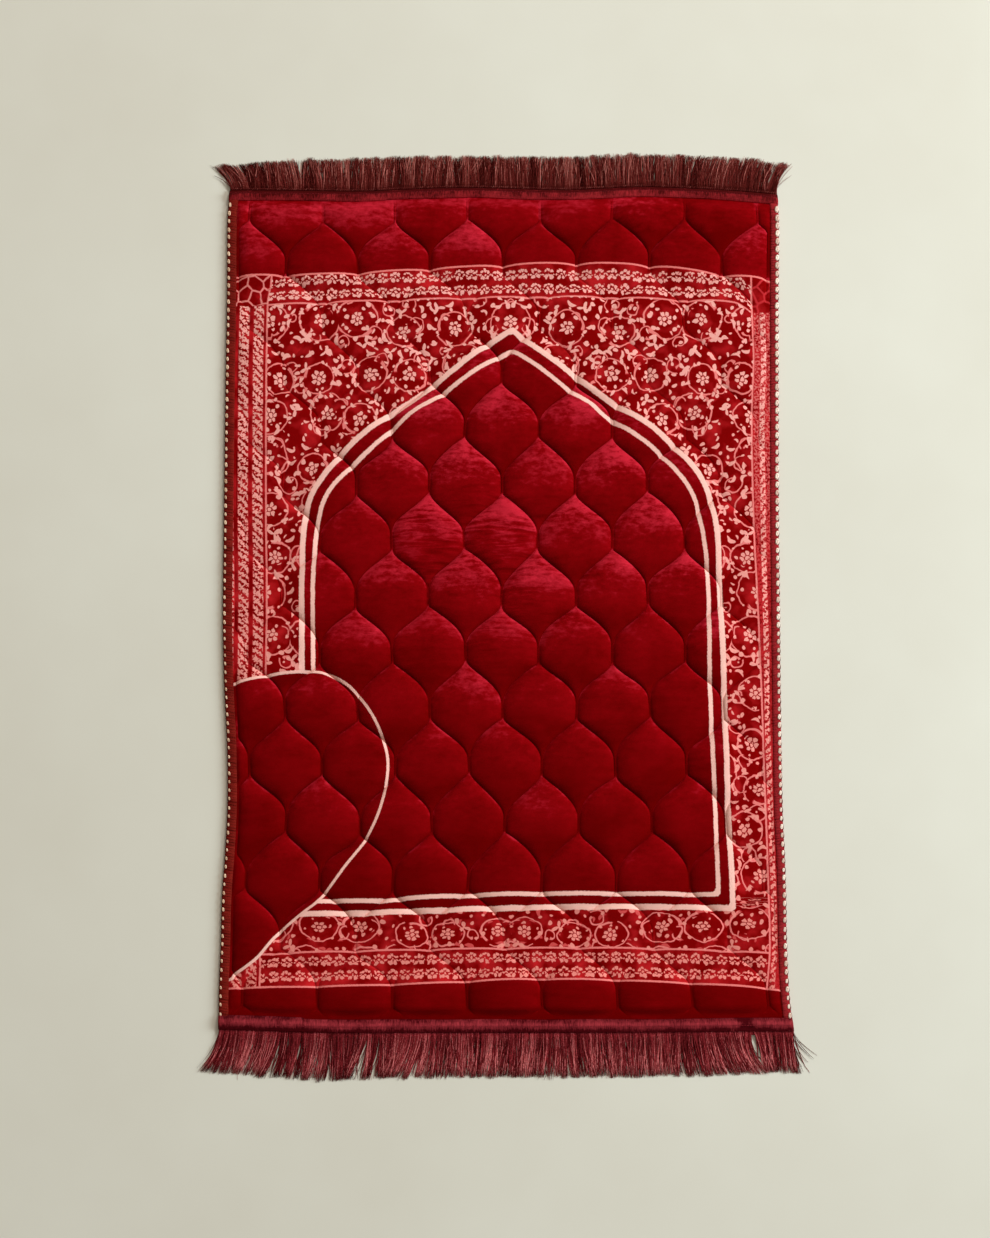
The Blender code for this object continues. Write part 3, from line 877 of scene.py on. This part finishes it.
def dome_rise(cloth):
    """How far the padding lifts the cloth: each dome its own height, fullest above its middle."""
    tip_row, cell = cloth.tip_row, cloth.cell
    dome = 1 + 0.09 * np.sin(2.3 * tip_row + 3.7 * cell) + 0.05 * np.sin(5.1 * tip_row + 1.9 * cell)
    fullness = 1 - (1 - np.minimum(cloth.width / DOME_PITCH, 1)) ** 2.3
    sag = 1 - 0.16 * smooth_step(cloth.past, 0.45, 1.0)
    return PUFF * fullness * cloth.pillow * dome * sag * np.where(tip_row >= LAST_TIPS, 0.25, 1.0)


def printed_share(cloth):
    """1 on the printed cloth, 0 in the plain arch, corner and ends, and soft between them."""
    x, y = cloth.x, cloth.y
    flat = np.stack([x, y], -1).reshape(-1, 2)
    to_arch, to_panel = (distance_to_ring(flat, ring).reshape(x.shape) for ring in (ARCH_RING, PANEL_RING))
    to_ends = np.minimum(read_curve(TOP_OUTER, x) - y, y - read_curve(BOTTOM_OUTER, x))
    return smooth_step(np.minimum(np.minimum(to_arch, to_panel), to_ends), 0.0, 0.02)


def creased_share(cloth):
    """Where the pile is creased across: on a few domes, and above the middle of the rug."""
    by_dome = 0.55 * ripples(cloth.tip_row * 0.31, cloth.cell * 0.23, 0.5, 33)
    by_place = 0.85 * np.exp(-((cloth.x + 0.02) ** 2 + (cloth.y - 0.07) ** 2) / 0.018)
    return smooth_step(by_dome + by_place, 0.25, 0.95)


def mat_heights(cloth, rise, creased):
    """The velour's z: domes with puckers and creases between the flanges, which slope to the rim."""
    x, y, pillow = cloth.x, cloth.y, cloth.pillow
    near_seam = np.exp(-cloth.seam_away / 0.008) * smooth_step(cloth.seam_away, 0.0, 0.0025)
    pucker = ripples(x, y, 0.013, 21) * 0.0011 * near_seam * smooth_step(cloth.width, 0.02, 0.05)
    crease = ripples(x, y, 0.0125, 44, stretch=5.0) * 0.0008 * creased * pillow
    soft = ripples(x, y, 0.060, 55) * 0.0007 * pillow
    border = smooth_step(cloth.end_away, 0.0, 0.011)
    z = SEAM_Z + (FLANGE_TOP - SEAM_Z) * (1 - border) + (rise + pucker + crease + soft) * border
    z = FLANGE_TOP + (z - FLANGE_TOP) * smooth_step(cloth.side_away, 0.0, 0.004)
    out_x = np.clip(-cloth.side_away / (MAT_HALF_WIDTH - FLANGE_X), 0, 1)
    out_y = np.clip(-cloth.end_away / END_FLANGE, 0, 1)
    flange = FLANGE_TOP + (EDGE_TOP - FLANGE_TOP) * np.maximum(out_x, out_y)
    return np.where((cloth.side_away <= 1e-6) | (out_y > 0), flange, z)


def drifted(cloth):
    """The cloth's x and y with seams as uneven as sewn ones, but held at the edges."""
    held = smooth_step(np.minimum(cloth.side_away, cloth.end_away), 0.0, 0.03)
    x = cloth.x + 0.0022 * ripples(cloth.x, cloth.y, 0.075, 61) * held
    return x, cloth.y + 0.0030 * ripples(cloth.x, cloth.y, 0.085, 62) * held


def close_below(top, rows, across):
    """The velour's faces, a rim drawn up off the floor, and a flat underside. Points and faces."""
    grid = np.arange(rows * across).reshape(rows, across)
    quads = np.stack([grid[:-1, :-1], grid[:-1, 1:], grid[1:, 1:], grid[1:, :-1]], -1)
    faces = quads.reshape(-1, 4).tolist()
    rim = np.concatenate([grid[0, :-1], grid[:-1, -1], grid[-1, :0:-1], grid[:0:-1, 0]])
    low, base = top[rim], top[rim]
    low[:, 2] = EDGE_BOTTOM
    middle_y, half_length = (MAT_HEAD + MAT_FOOT) / 2, (MAT_HEAD - MAT_FOOT) / 2
    base[:, 0] *= 1 - RIM_INSET / MAT_HALF_WIDTH
    base[:, 1] = middle_y + (base[:, 1] - middle_y) * (1 - RIM_INSET / half_length)
    base[:, 2] = 0
    low_at = len(top) + np.arange(len(rim))
    base_at = low_at + len(rim)
    for upper, lower in ((rim, low_at), (low_at, base_at)):
        faces += np.stack([upper, lower, np.roll(lower, -1), np.roll(upper, -1)], -1).tolist()

    # the underside, in strips from side to side
    at = np.zeros(rows * across, int)
    at[rim] = base_at
    at = at.reshape(rows, across)
    cuts = [*range(0, rows - 1, UNDERSIDE_ROWS), rows - 1]
    for start, end in zip(cuts, cuts[1:]):
        strip = at[start:end + 1, 0].tolist()
        if end == rows - 1:
            strip += at[-1, 1:-1].tolist()
        strip += at[start:end + 1, -1][::-1].tolist()
        if start == 0:
            strip += at[0, 1:-1][::-1].tolist()
        faces.append(strip)
    return np.concatenate([top, low, base]), faces


def slope_along(cloth, z):
    """How steeply the cloth climbs toward the rug's head at each point."""
    step_y = np.gradient(cloth.y, axis=0)
    slope_x = np.gradient(z, axis=1) / np.maximum(np.abs(np.gradient(cloth.x, axis=1)), 1e-4)
    return np.gradient(z, axis=0) / step_y - slope_x * np.gradient(cloth.x, axis=0) / step_y


def gleam(cloth, past):
    """The pile's painted highlight: most below each dome's tip and more toward the rug's head; darker on
    the flat rows at the foot and just below the head.
    """
    chance = np.sin(cloth.tip_row * 12.9898 + cloth.cell * 78.233) * 43758.5453
    chance = chance - np.floor(chance)
    shine = (1 - smooth_step(past, 0.06, 0.80)) * (0.60 + 0.65 * chance)
    shine = np.where(cloth.tip_row >= LAST_TIPS, -0.45, shine)
    headward = smooth_step(cloth.y, -0.50, 0.42)
    headward = headward * (1 - 0.25 * smooth_step(cloth.y, 0.38, 0.50))
    shine = shine * (0.42 + 0.90 * headward) + 0.42 * (headward - 0.55)
    return shine - 0.30 * smooth_step(cloth.y, 0.40, 0.44)


def mark_print(piece, cloth, z, lift, creased, top, below):
    """Keep on the mesh what velvet() reads: see MARKS. The points below the rim get plain values."""
    past = 0.12 + 0.75 * smooth_step(HEAD_FLANGE - cloth.y, 0.0, 0.085)
    past = np.where(cloth.tip_row < 0, past, cloth.past)
    place = lay(top)
    place[:, 1] -= (PRINT_PULL * (lift - 0.55)).ravel()
    px, py, _ = place.T
    vectors = (
        (px, py, place[:, 2]),
        (past, np.clip(slope_along(cloth, z), -1.2, 1.2), cloth.seam_away),
        [distance_to_ring(place, ring) for ring in (ARCH_RING, INNER_RING, PANEL_RING)],
        (px - read_curve(LEFT_LINE, py), read_curve(RIGHT_LINE, py) - px, read_curve(TOP_INNER, px) - py),
        (py - read_curve(BOTTOM_INNER, px), read_curve(TOP_OUTER, px) - py,
         py - read_curve(BOTTOM_OUTER, px)),
    )
    outside = np.full_like(below, 0.05)
    for name, vector, rest in zip(MARKS, vectors, (below, outside, outside, -outside, -outside)):
        values = np.stack([np.ravel(numbers) for numbers in vector], -1)
        add_attribute(piece, name, np.concatenate([values, rest]))
    for name, numbers in (("gleam", gleam(cloth, past)), ("creased", creased)):
        add_attribute(piece, name, np.concatenate([numbers.ravel(), np.zeros(len(below))]))


def build_mat():
    """The quilted mat: raised domes, flat flanges under the tapes, and a plain underside."""
    cloth = mat_grid()
    rise = dome_rise(cloth)
    creased = creased_share(cloth)
    z = mat_heights(cloth, rise * (1 - PRINT_STIFFNESS * printed_share(cloth)), creased)
    top = np.stack([*drifted(cloth), z], -1).reshape(-1, 3)
    points, faces = close_below(top, *z.shape)
    piece = new_piece("quilted_velour", "quilted_mat", points, faces, [velvet()])
    mark_print(piece, cloth, z, np.clip(rise / PUFF, 0, 1.2), creased, top, points[len(top):])
    return piece


# ---------------------------------------------------------------- overlocked sides
KNOT_STEP = 0.0105
STITCH_STEP = 0.0035
BAND_STATIONS = 360
BAND_START, BAND_END = MAT_FOOT + 0.0068, MAT_HEAD - 0.0072   # both under the tapes
BAND_UNDER = ((-0.004, 0.0003), (0.0002, 0.0010), (0.0002, EDGE_TOP + 0.0002))
THREAD_SLANT = 0.0028        # how far along the rug one slanting thread runs
THREAD_RADIUS, LOOP_RADIUS = 0.00055, 0.00075
KNOT_OUT = SERGING_PROUD * 0.05      # the knots' row, out from the mat's edge
KNOT_Z, LOOP_Z = 0.0058, 0.0048


def band_top(over):
    """The band's upper outline from its lip on the velour to the floor, as (out, z) points."""
    proud = SERGING_PROUD
    return (
        (-over, EDGE_TOP + 0.0012), (-over * 0.9, 0.0056), (-over * 0.6, 0.0061), (-over * 0.25, 0.0060),
        (proud * 0.3, 0.0053), (proud * 0.8, 0.0038), (proud, 0.0020), (proud * 0.9, 0.0003),
    )


def add_band(parts, sign, over, seed):
    """The wrapped band, whose outside is a little wavy."""
    top = band_top(over)
    outs, heights = np.array(top + BAND_UNDER).T
    y = np.linspace(BAND_START, BAND_END, BAND_STATIONS)
    wobble = 1 + 0.05 * np.sin(y * 2 * math.pi / STITCH_STEP) + 0.05 * ripples(y, y * 0, 0.03, seed)
    corner = np.arange(len(outs))
    wavy = (corner > 0) & (corner < len(top) - 1)
    z = heights * np.where(wavy, wobble[:, None], 1)
    sections = bundle(sign * (MAT_HALF_WIDTH + outs), y[:, None], z)
    x, y, _ = np.moveaxis(sections, -1, 0)
    parts.add(sections[None], 0.45 + 0.25 * ripples(y, x, 0.02, seed + 1))


def add_slanting_threads(parts, rng, sign, over):
    """The threads laid over the band, one to a stitch."""
    number = int((BAND_END - BAND_START) / STITCH_STEP) - 2
    shares = np.linspace(0.0, 0.93, 9)
    outs, heights = along_profile(band_top(over), shares)
    begin = BAND_START + STITCH_STEP * (np.arange(number) + 0.8) + rng.normal(0, 0.0003, number)
    y = begin[:, None] + THREAD_SLANT * shares + rng.normal(0, 0.0001, (number, 9))
    lines = bundle(sign * (MAT_HALF_WIDTH + outs), y, heights + 0.00015)
    radii = THREAD_RADIUS * rng.uniform(0.75, 1.15, (number, 1))
    parts.add(sweep(lines, radii, 5), rng.uniform(0.0, 0.85, number))


def add_knots(parts, rng, sign, knot_size):
    """The row of pale knots on the edge, each with a dark loop half round it."""
    number = int((BAND_END - BAND_START) / KNOT_STEP)
    y = BAND_START + KNOT_STEP * (np.arange(number) + 0.35) + rng.normal(0, 0.0004, number)
    size = knot_size * rng.uniform(0.8, 1.1, number) * (0.90 + 0.25 * smooth_step(y, -0.3, 0.5))
    y, size = y[:, None], size[:, None]
    middle = MAT_HALF_WIDTH + KNOT_OUT
    turn = np.linspace(0, 2 * math.pi, 13)
    knots = bundle(
        sign * (middle + np.cos(turn) * size * 0.42),
        y + np.sin(turn) * size * 0.95 + np.cos(turn) * 0.35 * size,
        KNOT_Z + 0.0003 * np.sin(turn),
    )
    parts.add(sweep(knots, size * 0.46, 6), rng.uniform(0.3, 1.0, number), material=1)
    arc = np.linspace(-1.9, 1.9, 12)
    wide = SERGING_PROUD * 0.55 + knot_size * 0.45
    loops = bundle(
        sign * (middle - 0.0004 + np.cos(arc) * wide),
        y - 0.0006 + np.sin(arc) * KNOT_STEP * 0.44,
        LOOP_Z - 0.00072 * np.cos(arc * 0.8),
    )
    parts.add(sweep(loops, LOOP_RADIUS, 5), rng.uniform(0.0, 0.6, number), material=2)


def build_serging(name, node, sign, over, knot_size, looks, seed):
    """One long side: a wrapped band, slanting threads over it, and a row of pale and dark loops."""
    rng = np.random.default_rng(seed)
    parts = Parts()
    add_band(parts, sign, over, seed)
    add_slanting_threads(parts, rng, sign, over)
    add_knots(parts, rng, sign, knot_size)
    return parts.piece(name, node, "serging_thread", looks)


# ---------------------------------------------------------------- rolled ends
JOINT_X = -0.2463            # where the foot end's tape is lapped
WORN_X = 0.2925              # where it is rubbed down and dark
TAPE_STATIONS = 420
ROLL_POINTS = 19
TAPE_STITCH = 0.0034
STITCH_OUT = 0.0012          # the stitches' row, out from the mat's edge
HEAD_TAPE = (  # out from the mat's edge and height: first and last point of the roll, then its lip
    (-0.0076, 0.0050), (0.0053, 0.0050), (0.0058, 0.0036), (0.0060, 0.0020), (0.0056, 0.0003),
)
FOOT_TAPE = (
    (-0.0072, 0.0050), (0.0083, 0.0060), (0.0089, 0.0056), (0.0086, 0.0052), (0.0061, 0.0051),
    (0.0058, 0.0020), (0.0056, 0.0003),
)
TAPE_UNDER = ((-0.0040, 0.0003), (0.0002, 0.0010), (0.0002, EDGE_TOP + 0.0003))
TAPE_RISE = 0.0033           # how far the middle of the roll stands above its two edges
TAPE_TOP = 0.0098            # the roll never stands higher than this


def roll_section(tape):
    """The tape's outline: out and height, and how far each point swells and sways with the roll."""
    share = np.linspace(0, 1, ROLL_POINTS)
    (start, start_high), (reach, reach_high) = tape[:2]
    outs = start + (reach - start) * share
    swells = TAPE_RISE * np.sin(math.pi * share ** 0.85)
    swells -= 0.0005 * np.exp(-((outs - STITCH_OUT) / 0.0006) ** 2)
    roll = np.stack([outs, start_high + (reach_high - start_high) * share, swells, 1 - share])
    rest = np.array(tape[2:] + TAPE_UNDER).T
    return np.concatenate([roll, np.concatenate([rest, np.zeros_like(rest)])], axis=1)


def tape_wear(x, sign):
    """How the lapped joint and the worn place change the tape, and the head's tape grows darker toward its
    left end: its drift, swell and tone.
    """
    if sign > 0:
        return 0.0, 1.0, -0.12 * (1 - smooth_step(x, -0.32, -0.08))
    past = smooth_step(x, JOINT_X - 0.0006, JOINT_X + 0.0006)
    worn = np.exp(-((x - WORN_X) / 0.009) ** 2)
    tone = -0.5 * np.exp(-((x - JOINT_X) / 0.0012) ** 2) - 0.8 * worn - 0.08 * (x < JOINT_X)
    return -0.0016 * (1 - past), (1 - 0.20 * past) * (1 - 0.45 * worn), tone


def roll_highlight_and_shade(outs, end):
    """Painted highlight and shade across the tape: brightest on one line of the roll, painted shade on its
    outer lip.
    """
    reach = end.tape[1][0]
    tone = 0.48 * np.exp(-((outs - end.bright_at) / 0.0034) ** 2) - 0.24
    tone = tone - 0.34 * smooth_step(outs, reach - 0.0050, reach - 0.0010)
    # at the head, painted shade in the stitched groove
    if end.sign > 0:
        tone = tone - 0.40 * np.exp(-((outs - 0.0018) / 0.0011) ** 2)
    return tone


def build_binding(name, node, end, looks, seed):
    """One end: tape rolled over the mat's edge, stitched down in a groove, with folded-in ends."""
    parts = Parts()
    outs, heights, swells, sways = roll_section(end.tape)
    x = np.linspace(-HALF_WIDTH, HALF_WIDTH, TAPE_STATIONS)
    wear_drift, wear_swell, tone_along = tape_wear(x, end.sign)
    swell = 1 + 0.15 * ripples(x, x * 0, 0.05, seed) + 0.09 * ripples(x, x * 0, 0.011, seed + 1)
    tuck = smooth_step(np.minimum(x + HALF_WIDTH, HALF_WIDTH - x), -0.0015, 0.0045)
    swell = (swell * wear_swell * (0.40 + 0.60 * tuck))[:, None]
    drift = (0.0009 * ripples(x, x * 0, 0.12, seed + 2) + wear_drift)[:, None]
    y = end.edge + end.sign * (outs + drift * sways)
    sections = bundle(x[:, None], y, np.minimum(heights + swells * swell, TAPE_TOP))
    parts.add(sections[None], (0.5 + tone_along)[:, None] + roll_highlight_and_shade(outs, end))

    # the row of stitches in the groove
    rng = np.random.default_rng(seed)
    middle, half = stitch_row(TAPE_STITCH, 5)
    beside = rng.normal(0, 0.00012, (len(middle), 1)) + half * 0.0001
    groove = np.interp(STITCH_OUT, outs[:ROLL_POINTS], (heights + swells)[:ROLL_POINTS])
    y, z = end.edge + end.sign * (STITCH_OUT + beside), groove + 0.0002 * (1 - half ** 2)
    stitches = bundle(middle + half * 0.0012, y, z)
    parts.add(sweep(stitches, 0.0003, 5), rng.uniform(0.2, 0.9, len(middle)), material=1)
    return parts.piece(name, node, "binding_tape", looks)


# ---------------------------------------------------------------- fringes
HEAD_COMB = (  # x of a yarn's root, lean of the tips just left of it, lean of those just right
    (-350, -20, -20), (-325, -12.5, -11.5), (-290, -7, -7), (-262, -6.5, -3), (-240, -3, -3),
    (-215, -3, -0.5), (-190, 1, 1), (-150, 0, 0), (-120, -1, 1), (-50, 1.5, 1.5), (0, 0, 0),
    (40, -0.5, 1.5), (120, -1, -1), (150, -1, 1.5), (180, 1, 1), (230, 4, 4), (280, 7, 7),
    (300, 7.5, 10.5), (320, 11, 11), (350, 19, 19),
)
FOOT_COMB = (
    (-350, -20, -20), (-325, -12, -12), (-273.4, -19, -11.5), (-260, -9, -9), (-249, -12.5, -7.5),
    (-240, -7, -7), (-228.3, -11.5, -5), (-205, -1, -1), (-190, -6, -6), (-169.1, -27, -7.5),
    (-140, -7.5, -7.5), (-102.4, -20, -10.5), (-80, -6, -6), (-50, -3, -3), (20, -7, -7), (57.3, -6, 4),
    (75, 5.5, 5.5), (118.4, 0, 3.5), (150, 1, 1), (200.2, 1.5, 5.5), (220.9, 4, 8.5), (240.6, 9, 14),
    (270, 18, 18), (299, 17, 15), (310, 7.5, 7.5), (325, 4, 4), (350, 11, 11),
)
HEAD_STRAYS = (  # x of the root, lean, length
    (-348, -24, 20), (347, 23, 26),
)
FOOT_STRAYS = (
    (348.6, 29, 33), (347.8, 26.2, 37), (347, 22.8, 34), (346.2, 20.5, 41), (345.4, 17.5, 44),
    (344.6, 15, 47), (-348.5, -17.5, 52), (-330, 2, 64),
)
YARNS = 4600
YARN_CURL = 1.7
YARN_SHARES = np.array([0, 0.15, 0.32, 0.50, 0.68, 0.85, 1.0])   # of its length, at each bend of a yarn
STRAY_SHARE = 0.18
BRIGHT_SHARE = 0.24
YARN_THIN, YARN_THICK = 0.00036, 0.00060      # radii
CHAIN_STEP = 0.0026
HEADER_OUTLINE = (  # out from the binding's face, height
    (0.0003, 0.0), (0.0003, 0.0030), (0.0030, 0.0033), (0.0070, 0.0030), (0.0083, 0.0018), (0.0083, 0.0),
)


def combed(comb, root):
    """How far the tip of each yarn leans, in a straight run from one row of the comb to the next."""
    rows = in_metres(comb)
    after = np.clip(np.searchsorted(rows[:, 0], root), 1, len(rows) - 1)
    start, end = rows[after - 1], rows[after]
    share = (root - start[:, 0]) / (end[:, 0] - start[:, 0])
    return start[:, 2] + (end[:, 1] - start[:, 2]) * share


def clump_walls(rng, comb):
    """Where one clump of yarns ends and the next begins. The comb's partings are always walls."""
    partings = [x for x, left_lean, right_lean in in_metres(comb) if left_lean != right_lean]
    walls = [-HALF_WIDTH]
    while walls[-1] < HALF_WIDTH:
        following = walls[-1] + rng.uniform(0.0018, 0.0085)
        passed = [x for x in partings if walls[-1] < x <= following + 0.003]
        walls.append(passed[0] if passed else following)
    return np.array(walls)


def plan_yarns(rng, end):
    """Each yarn's root, length and lean, and what it shares with its clump, as columns."""
    root = np.sort(rng.uniform(-HALF_WIDTH + 0.001, HALF_WIDTH - 0.001, YARNS))
    walls = clump_walls(rng, end.comb)
    clump = np.clip(np.searchsorted(walls, root) - 1, 0, len(walls) - 2)
    centre = (walls[clump] + walls[clump + 1]) / 2
    clump_lean = rng.normal(0, 0.0022, len(walls))[clump]
    clump_long = rng.normal(0, 0.0011, len(walls))[clump]
    pull = rng.uniform(0.0, 0.50, len(walls))[clump]
    shade = rng.normal(0, 0.20, len(walls))[clump]
    length = read_curve(LOCK_TABLE, root, end.length_column)
    length = length + clump_long - np.abs(rng.normal(0, 0.0034, YARNS)) + end.tip_spare
    stray = rng.random(YARNS) < STRAY_SHARE
    lean = combed(end.comb, root) + clump_lean + rng.normal(0, 0.0022, YARNS)
    lean = lean + np.where(stray, rng.normal(0, 0.0065, YARNS), 0)
    for at, far_lean, far_length in in_metres(end.strays):
        one = np.argmin(np.abs(root - at))
        lean[one], length[one] = far_lean, far_length
    yarns = {"root": root, "length": length, "lean": lean, "shade": shade, "pull": pull * (centre - root)}
    return SimpleNamespace(**{name: numbers[:, None] for name, numbers in yarns.items()})


def add_yarns(parts, rng, end):
    """The yarns, from the binding's face over the header and down to the floor."""
    yarn, s = plan_yarns(rng, end), YARN_SHARES
    level = rng.random(YARNS)[:, None]
    phase = rng.uniform(0, 2 * math.pi, (YARNS, 2))
    wave = 0.0016 * np.sin(s * rng.uniform(2, 7, (YARNS, 1)) + phase[:, :1]) * s
    away = yarn.root - end.eye_x
    eye = np.sign(away) * end.eye_half * np.exp(-np.abs(away) / 0.010) * np.sin(math.pi * s)
    x = yarn.root + yarn.lean * s ** YARN_CURL + wave + yarn.pull * s ** 2.0 + eye
    y = end.face + end.sign * (0.0002 + (yarn.length - 0.0002) * s)

    over_header = 0.0031 + 0.0009 * level
    resting = 0.0005 + 0.0026 * level * (1 - 0.55 * s)
    drop = smooth_step(s * yarn.length, HEADER_DEPTH * 0.7, HEADER_DEPTH * 2.1)
    z = over_header * (1 - drop) + resting * drop
    z = z + 0.0004 * np.sin(s * 7 + phase[:, 1:]) * drop * level
    radii = rng.uniform(YARN_THIN, YARN_THICK, (YARNS, 1)) * np.interp(s, [0, 0.7, 1.0], [1.0, 0.9, 0.35])

    bright = rng.random((YARNS, 1)) < BRIGHT_SHARE
    light, dark = rng.normal(0.75, 0.20, (YARNS, 1)), rng.normal(0.17, 0.12, (YARNS, 1))
    # painted shade: yarns that lie lower, under the others, are darker
    shade = np.where(bright, light, dark) + yarn.shade + 0.40 * (level - 0.5)
    # darker at the root, lighter toward the tip
    root_to_tip_tone = np.interp(s, [0, 0.15, 0.45, 1.0], [0.42, 0.68, 0.90, 1.30])
    parts.add(sweep(bundle(x, y, np.maximum(z, radii)), radii, 3), np.clip(shade, 0, 1.2) * root_to_tip_tone)


def add_header(parts, rng, end):
    """The woven header, and the chain of loops that holds the yarns on it."""
    out, z = np.array(HEADER_OUTLINE).T
    x = np.linspace(-HALF_WIDTH, HALF_WIDTH, 240)[:, None]
    parts.add(bundle(x, end.face + end.sign * out, z)[None], 0.35)
    middle, half = stitch_row(CHAIN_STEP, 6)
    y = end.face + end.sign * (0.0016 + half * 0.0011)
    z = 0.0041 + 0.0004 * (1 - half ** 2) + rng.normal(0, 0.0001, (len(middle), 1))
    chain = bundle(middle + half * 0.00096, y, z)
    parts.add(sweep(chain, 0.00042, 4), rng.uniform(0.2, 0.7, len(middle)))


def build_fringe(name, node, end, looks, seed):
    """One fringe: yarns on a woven header, gathered in clumps, with gaps and single strays."""
    rng = np.random.default_rng(seed)
    parts = Parts()
    add_yarns(parts, rng, end)
    add_header(parts, rng, end)
    return parts.piece(name, node, "fringe_yarn", looks)


# ---------------------------------------------------------------- the set
FLOOR_REACH = 12.0
WARM_LIGHT, COOL_LIGHT = (1.0, 0.95, 0.88), (0.83, 0.96, 1.0)


def add_floor():
    mesh = bpy.data.meshes.new("floor")
    corners = [(x * FLOOR_REACH, y * FLOOR_REACH, 0) for x, y in ((-1, -1), (1, -1), (1, 1), (-1, 1))]
    mesh.from_pydata(corners, [], [(0, 1, 2, 3)])
    look = Look("pale_floor")
    tone = look.noise(look.join(*look.place()), 2.2, 4.0, 0.6)
    colour = look.blend((tone - 0.5) * 1.6 + 0.5, (0.63, 0.60, 0.52), (0.70, 0.685, 0.61))
    look.fixed(Roughness=0.75, Specular_IOR_Level=0.2)
    mesh.materials.append(look.paint(colour))
    floor = bpy.data.objects.new("floor", mesh)
    bpy.context.scene.collection.objects.link(floor)


def add_light(name, place, size, power, colour):
    """A round soft light that faces the middle of the rug."""
    light = bpy.data.lights.new(name, "AREA")
    light.shape, light.size, light.energy, light.color = "DISK", size, power, colour
    lamp = bpy.data.objects.new(name, light)
    lamp.location = place
    lamp.rotation_mode = "QUATERNION"
    lamp.rotation_quaternion = (-Vector(place)).to_track_quat("-Z", "Y")
    bpy.context.scene.collection.objects.link(lamp)


def add_world():
    world = bpy.data.worlds.new("studio")
    world.use_nodes = True
    background = world.node_tree.nodes["Background"]
    background.inputs["Color"].default_value = (1.0, 0.81, 0.60, 1.0)
    background.inputs["Strength"].default_value = 0.19
    bpy.context.scene.world = world
    bpy.context.scene.view_settings.view_transform = "Standard"


def add_camera():
    """The photo's view: from above, a little toward the foot end and tilted about four degrees."""
    camera = bpy.data.cameras.new("camera")
    camera.sensor_fit = "HORIZONTAL"
    camera.sensor_width = 36
    camera.lens = 54.545
    holder = bpy.data.objects.new("camera", camera)
    holder.location = (-0.0094, -0.1546, 1.876)
    holder.rotation_euler = (0.07423, 0, 0)
    bpy.context.scene.collection.objects.link(holder)
    bpy.context.scene.camera = holder


YARN_FIBRE, THREAD_FIBRE = 700.0, 1100.0     # scales of the fibres' noise
head_yarn = yarn_look(
    "head_fringe_yarn", (0.020, 0.0006, 0.0004), (0.480, 0.150, 0.125), YARN_FIBRE, (0.165, 0.020, 0.017)
)
foot_yarn = yarn_look(
    "foot_fringe_yarn", (0.038, 0.0008, 0.0014), (0.720, 0.210, 0.210), YARN_FIBRE, (0.245, 0.020, 0.026)
)
# The left side's band and knots: the right side's threads made darker and browner, as painted shade on the
# side away from the light.
left_edge = yarn_look("left_edge_thread", (0.070, 0.003, 0.002), (0.300, 0.022, 0.015), THREAD_FIBRE)
right_edge = yarn_look("right_edge_thread", (0.150, 0.006, 0.008), (0.440, 0.030, 0.036), THREAD_FIBRE)
shaded_cream_thread = yarn_look("shaded_cream_thread", (0.40, 0.19, 0.10), (0.92, 0.66, 0.47), THREAD_FIBRE)
cream_thread = yarn_look("cream_thread", (0.50, 0.26, 0.20), (1.0, 0.84, 0.72), THREAD_FIBRE)
loop_thread = yarn_look("loop_thread", (0.040, 0.004, 0.003), (0.150, 0.018, 0.014), THREAD_FIBRE)
tape_thread = yarn_look("tape_thread", (0.080, 0.005, 0.008), (0.300, 0.024, 0.036), THREAD_FIBRE)
head_tape = tape_look("head_binding_twill", (0.060, 0.003, 0.003), (0.460, 0.026, 0.034))
foot_tape = tape_look("foot_binding_twill", (0.062, 0.002, 0.004), (0.390, 0.036, 0.048))
left_threads = [left_edge, shaded_cream_thread, loop_thread]
right_threads = [right_edge, cream_thread, loop_thread]

HEAD_END = SimpleNamespace(
    sign=1,
    edge=MAT_HEAD, tape=HEAD_TAPE, bright_at=-0.0074,
    face=HEAD_Y, length_column=1, tip_spare=0.0036, comb=HEAD_COMB, strays=HEAD_STRAYS,
    eye_x=0.0, eye_half=0.0,
)
FOOT_END = SimpleNamespace(
    sign=-1,
    edge=MAT_FOOT, tape=FOOT_TAPE, bright_at=-0.0006,
    face=FOOT_Y, length_column=2, tip_spare=0.0022, comb=FOOT_COMB, strays=FOOT_STRAYS,
    eye_x=0.299, eye_half=0.0050,    # a gap between yarns that closes again at their tips
)

mat = build_mat()
pieces = [
    build_serging("overlock_left", "edge_serging_left", -1, 0.0096, 0.0019, left_threads, 11),
    build_serging("overlock_right", "edge_serging_right", 1, 0.0080, 0.0027, right_threads, 12),
    build_binding("binding_head", "end_binding_head", HEAD_END, [head_tape, tape_thread], 13),
    build_binding("binding_foot", "end_binding_foot", FOOT_END, [foot_tape, tape_thread], 14),
    build_fringe("fringe_of_head", "fringe_head", HEAD_END, [head_yarn], 5),
    build_fringe("fringe_of_foot", "fringe_foot", FOOT_END, [foot_yarn], 6),
]

add_floor()
add_camera()
add_light("key", (3.42, 6.43, 5.29), 2.0, 370, WARM_LIGHT)
add_light("window", (4.90, 0.90, 2.70), 3.2, 370, COOL_LIGHT)
add_light("ceiling", (0.8, 0.6, 5.2), 3.0, 45, WARM_LIGHT)
add_world()
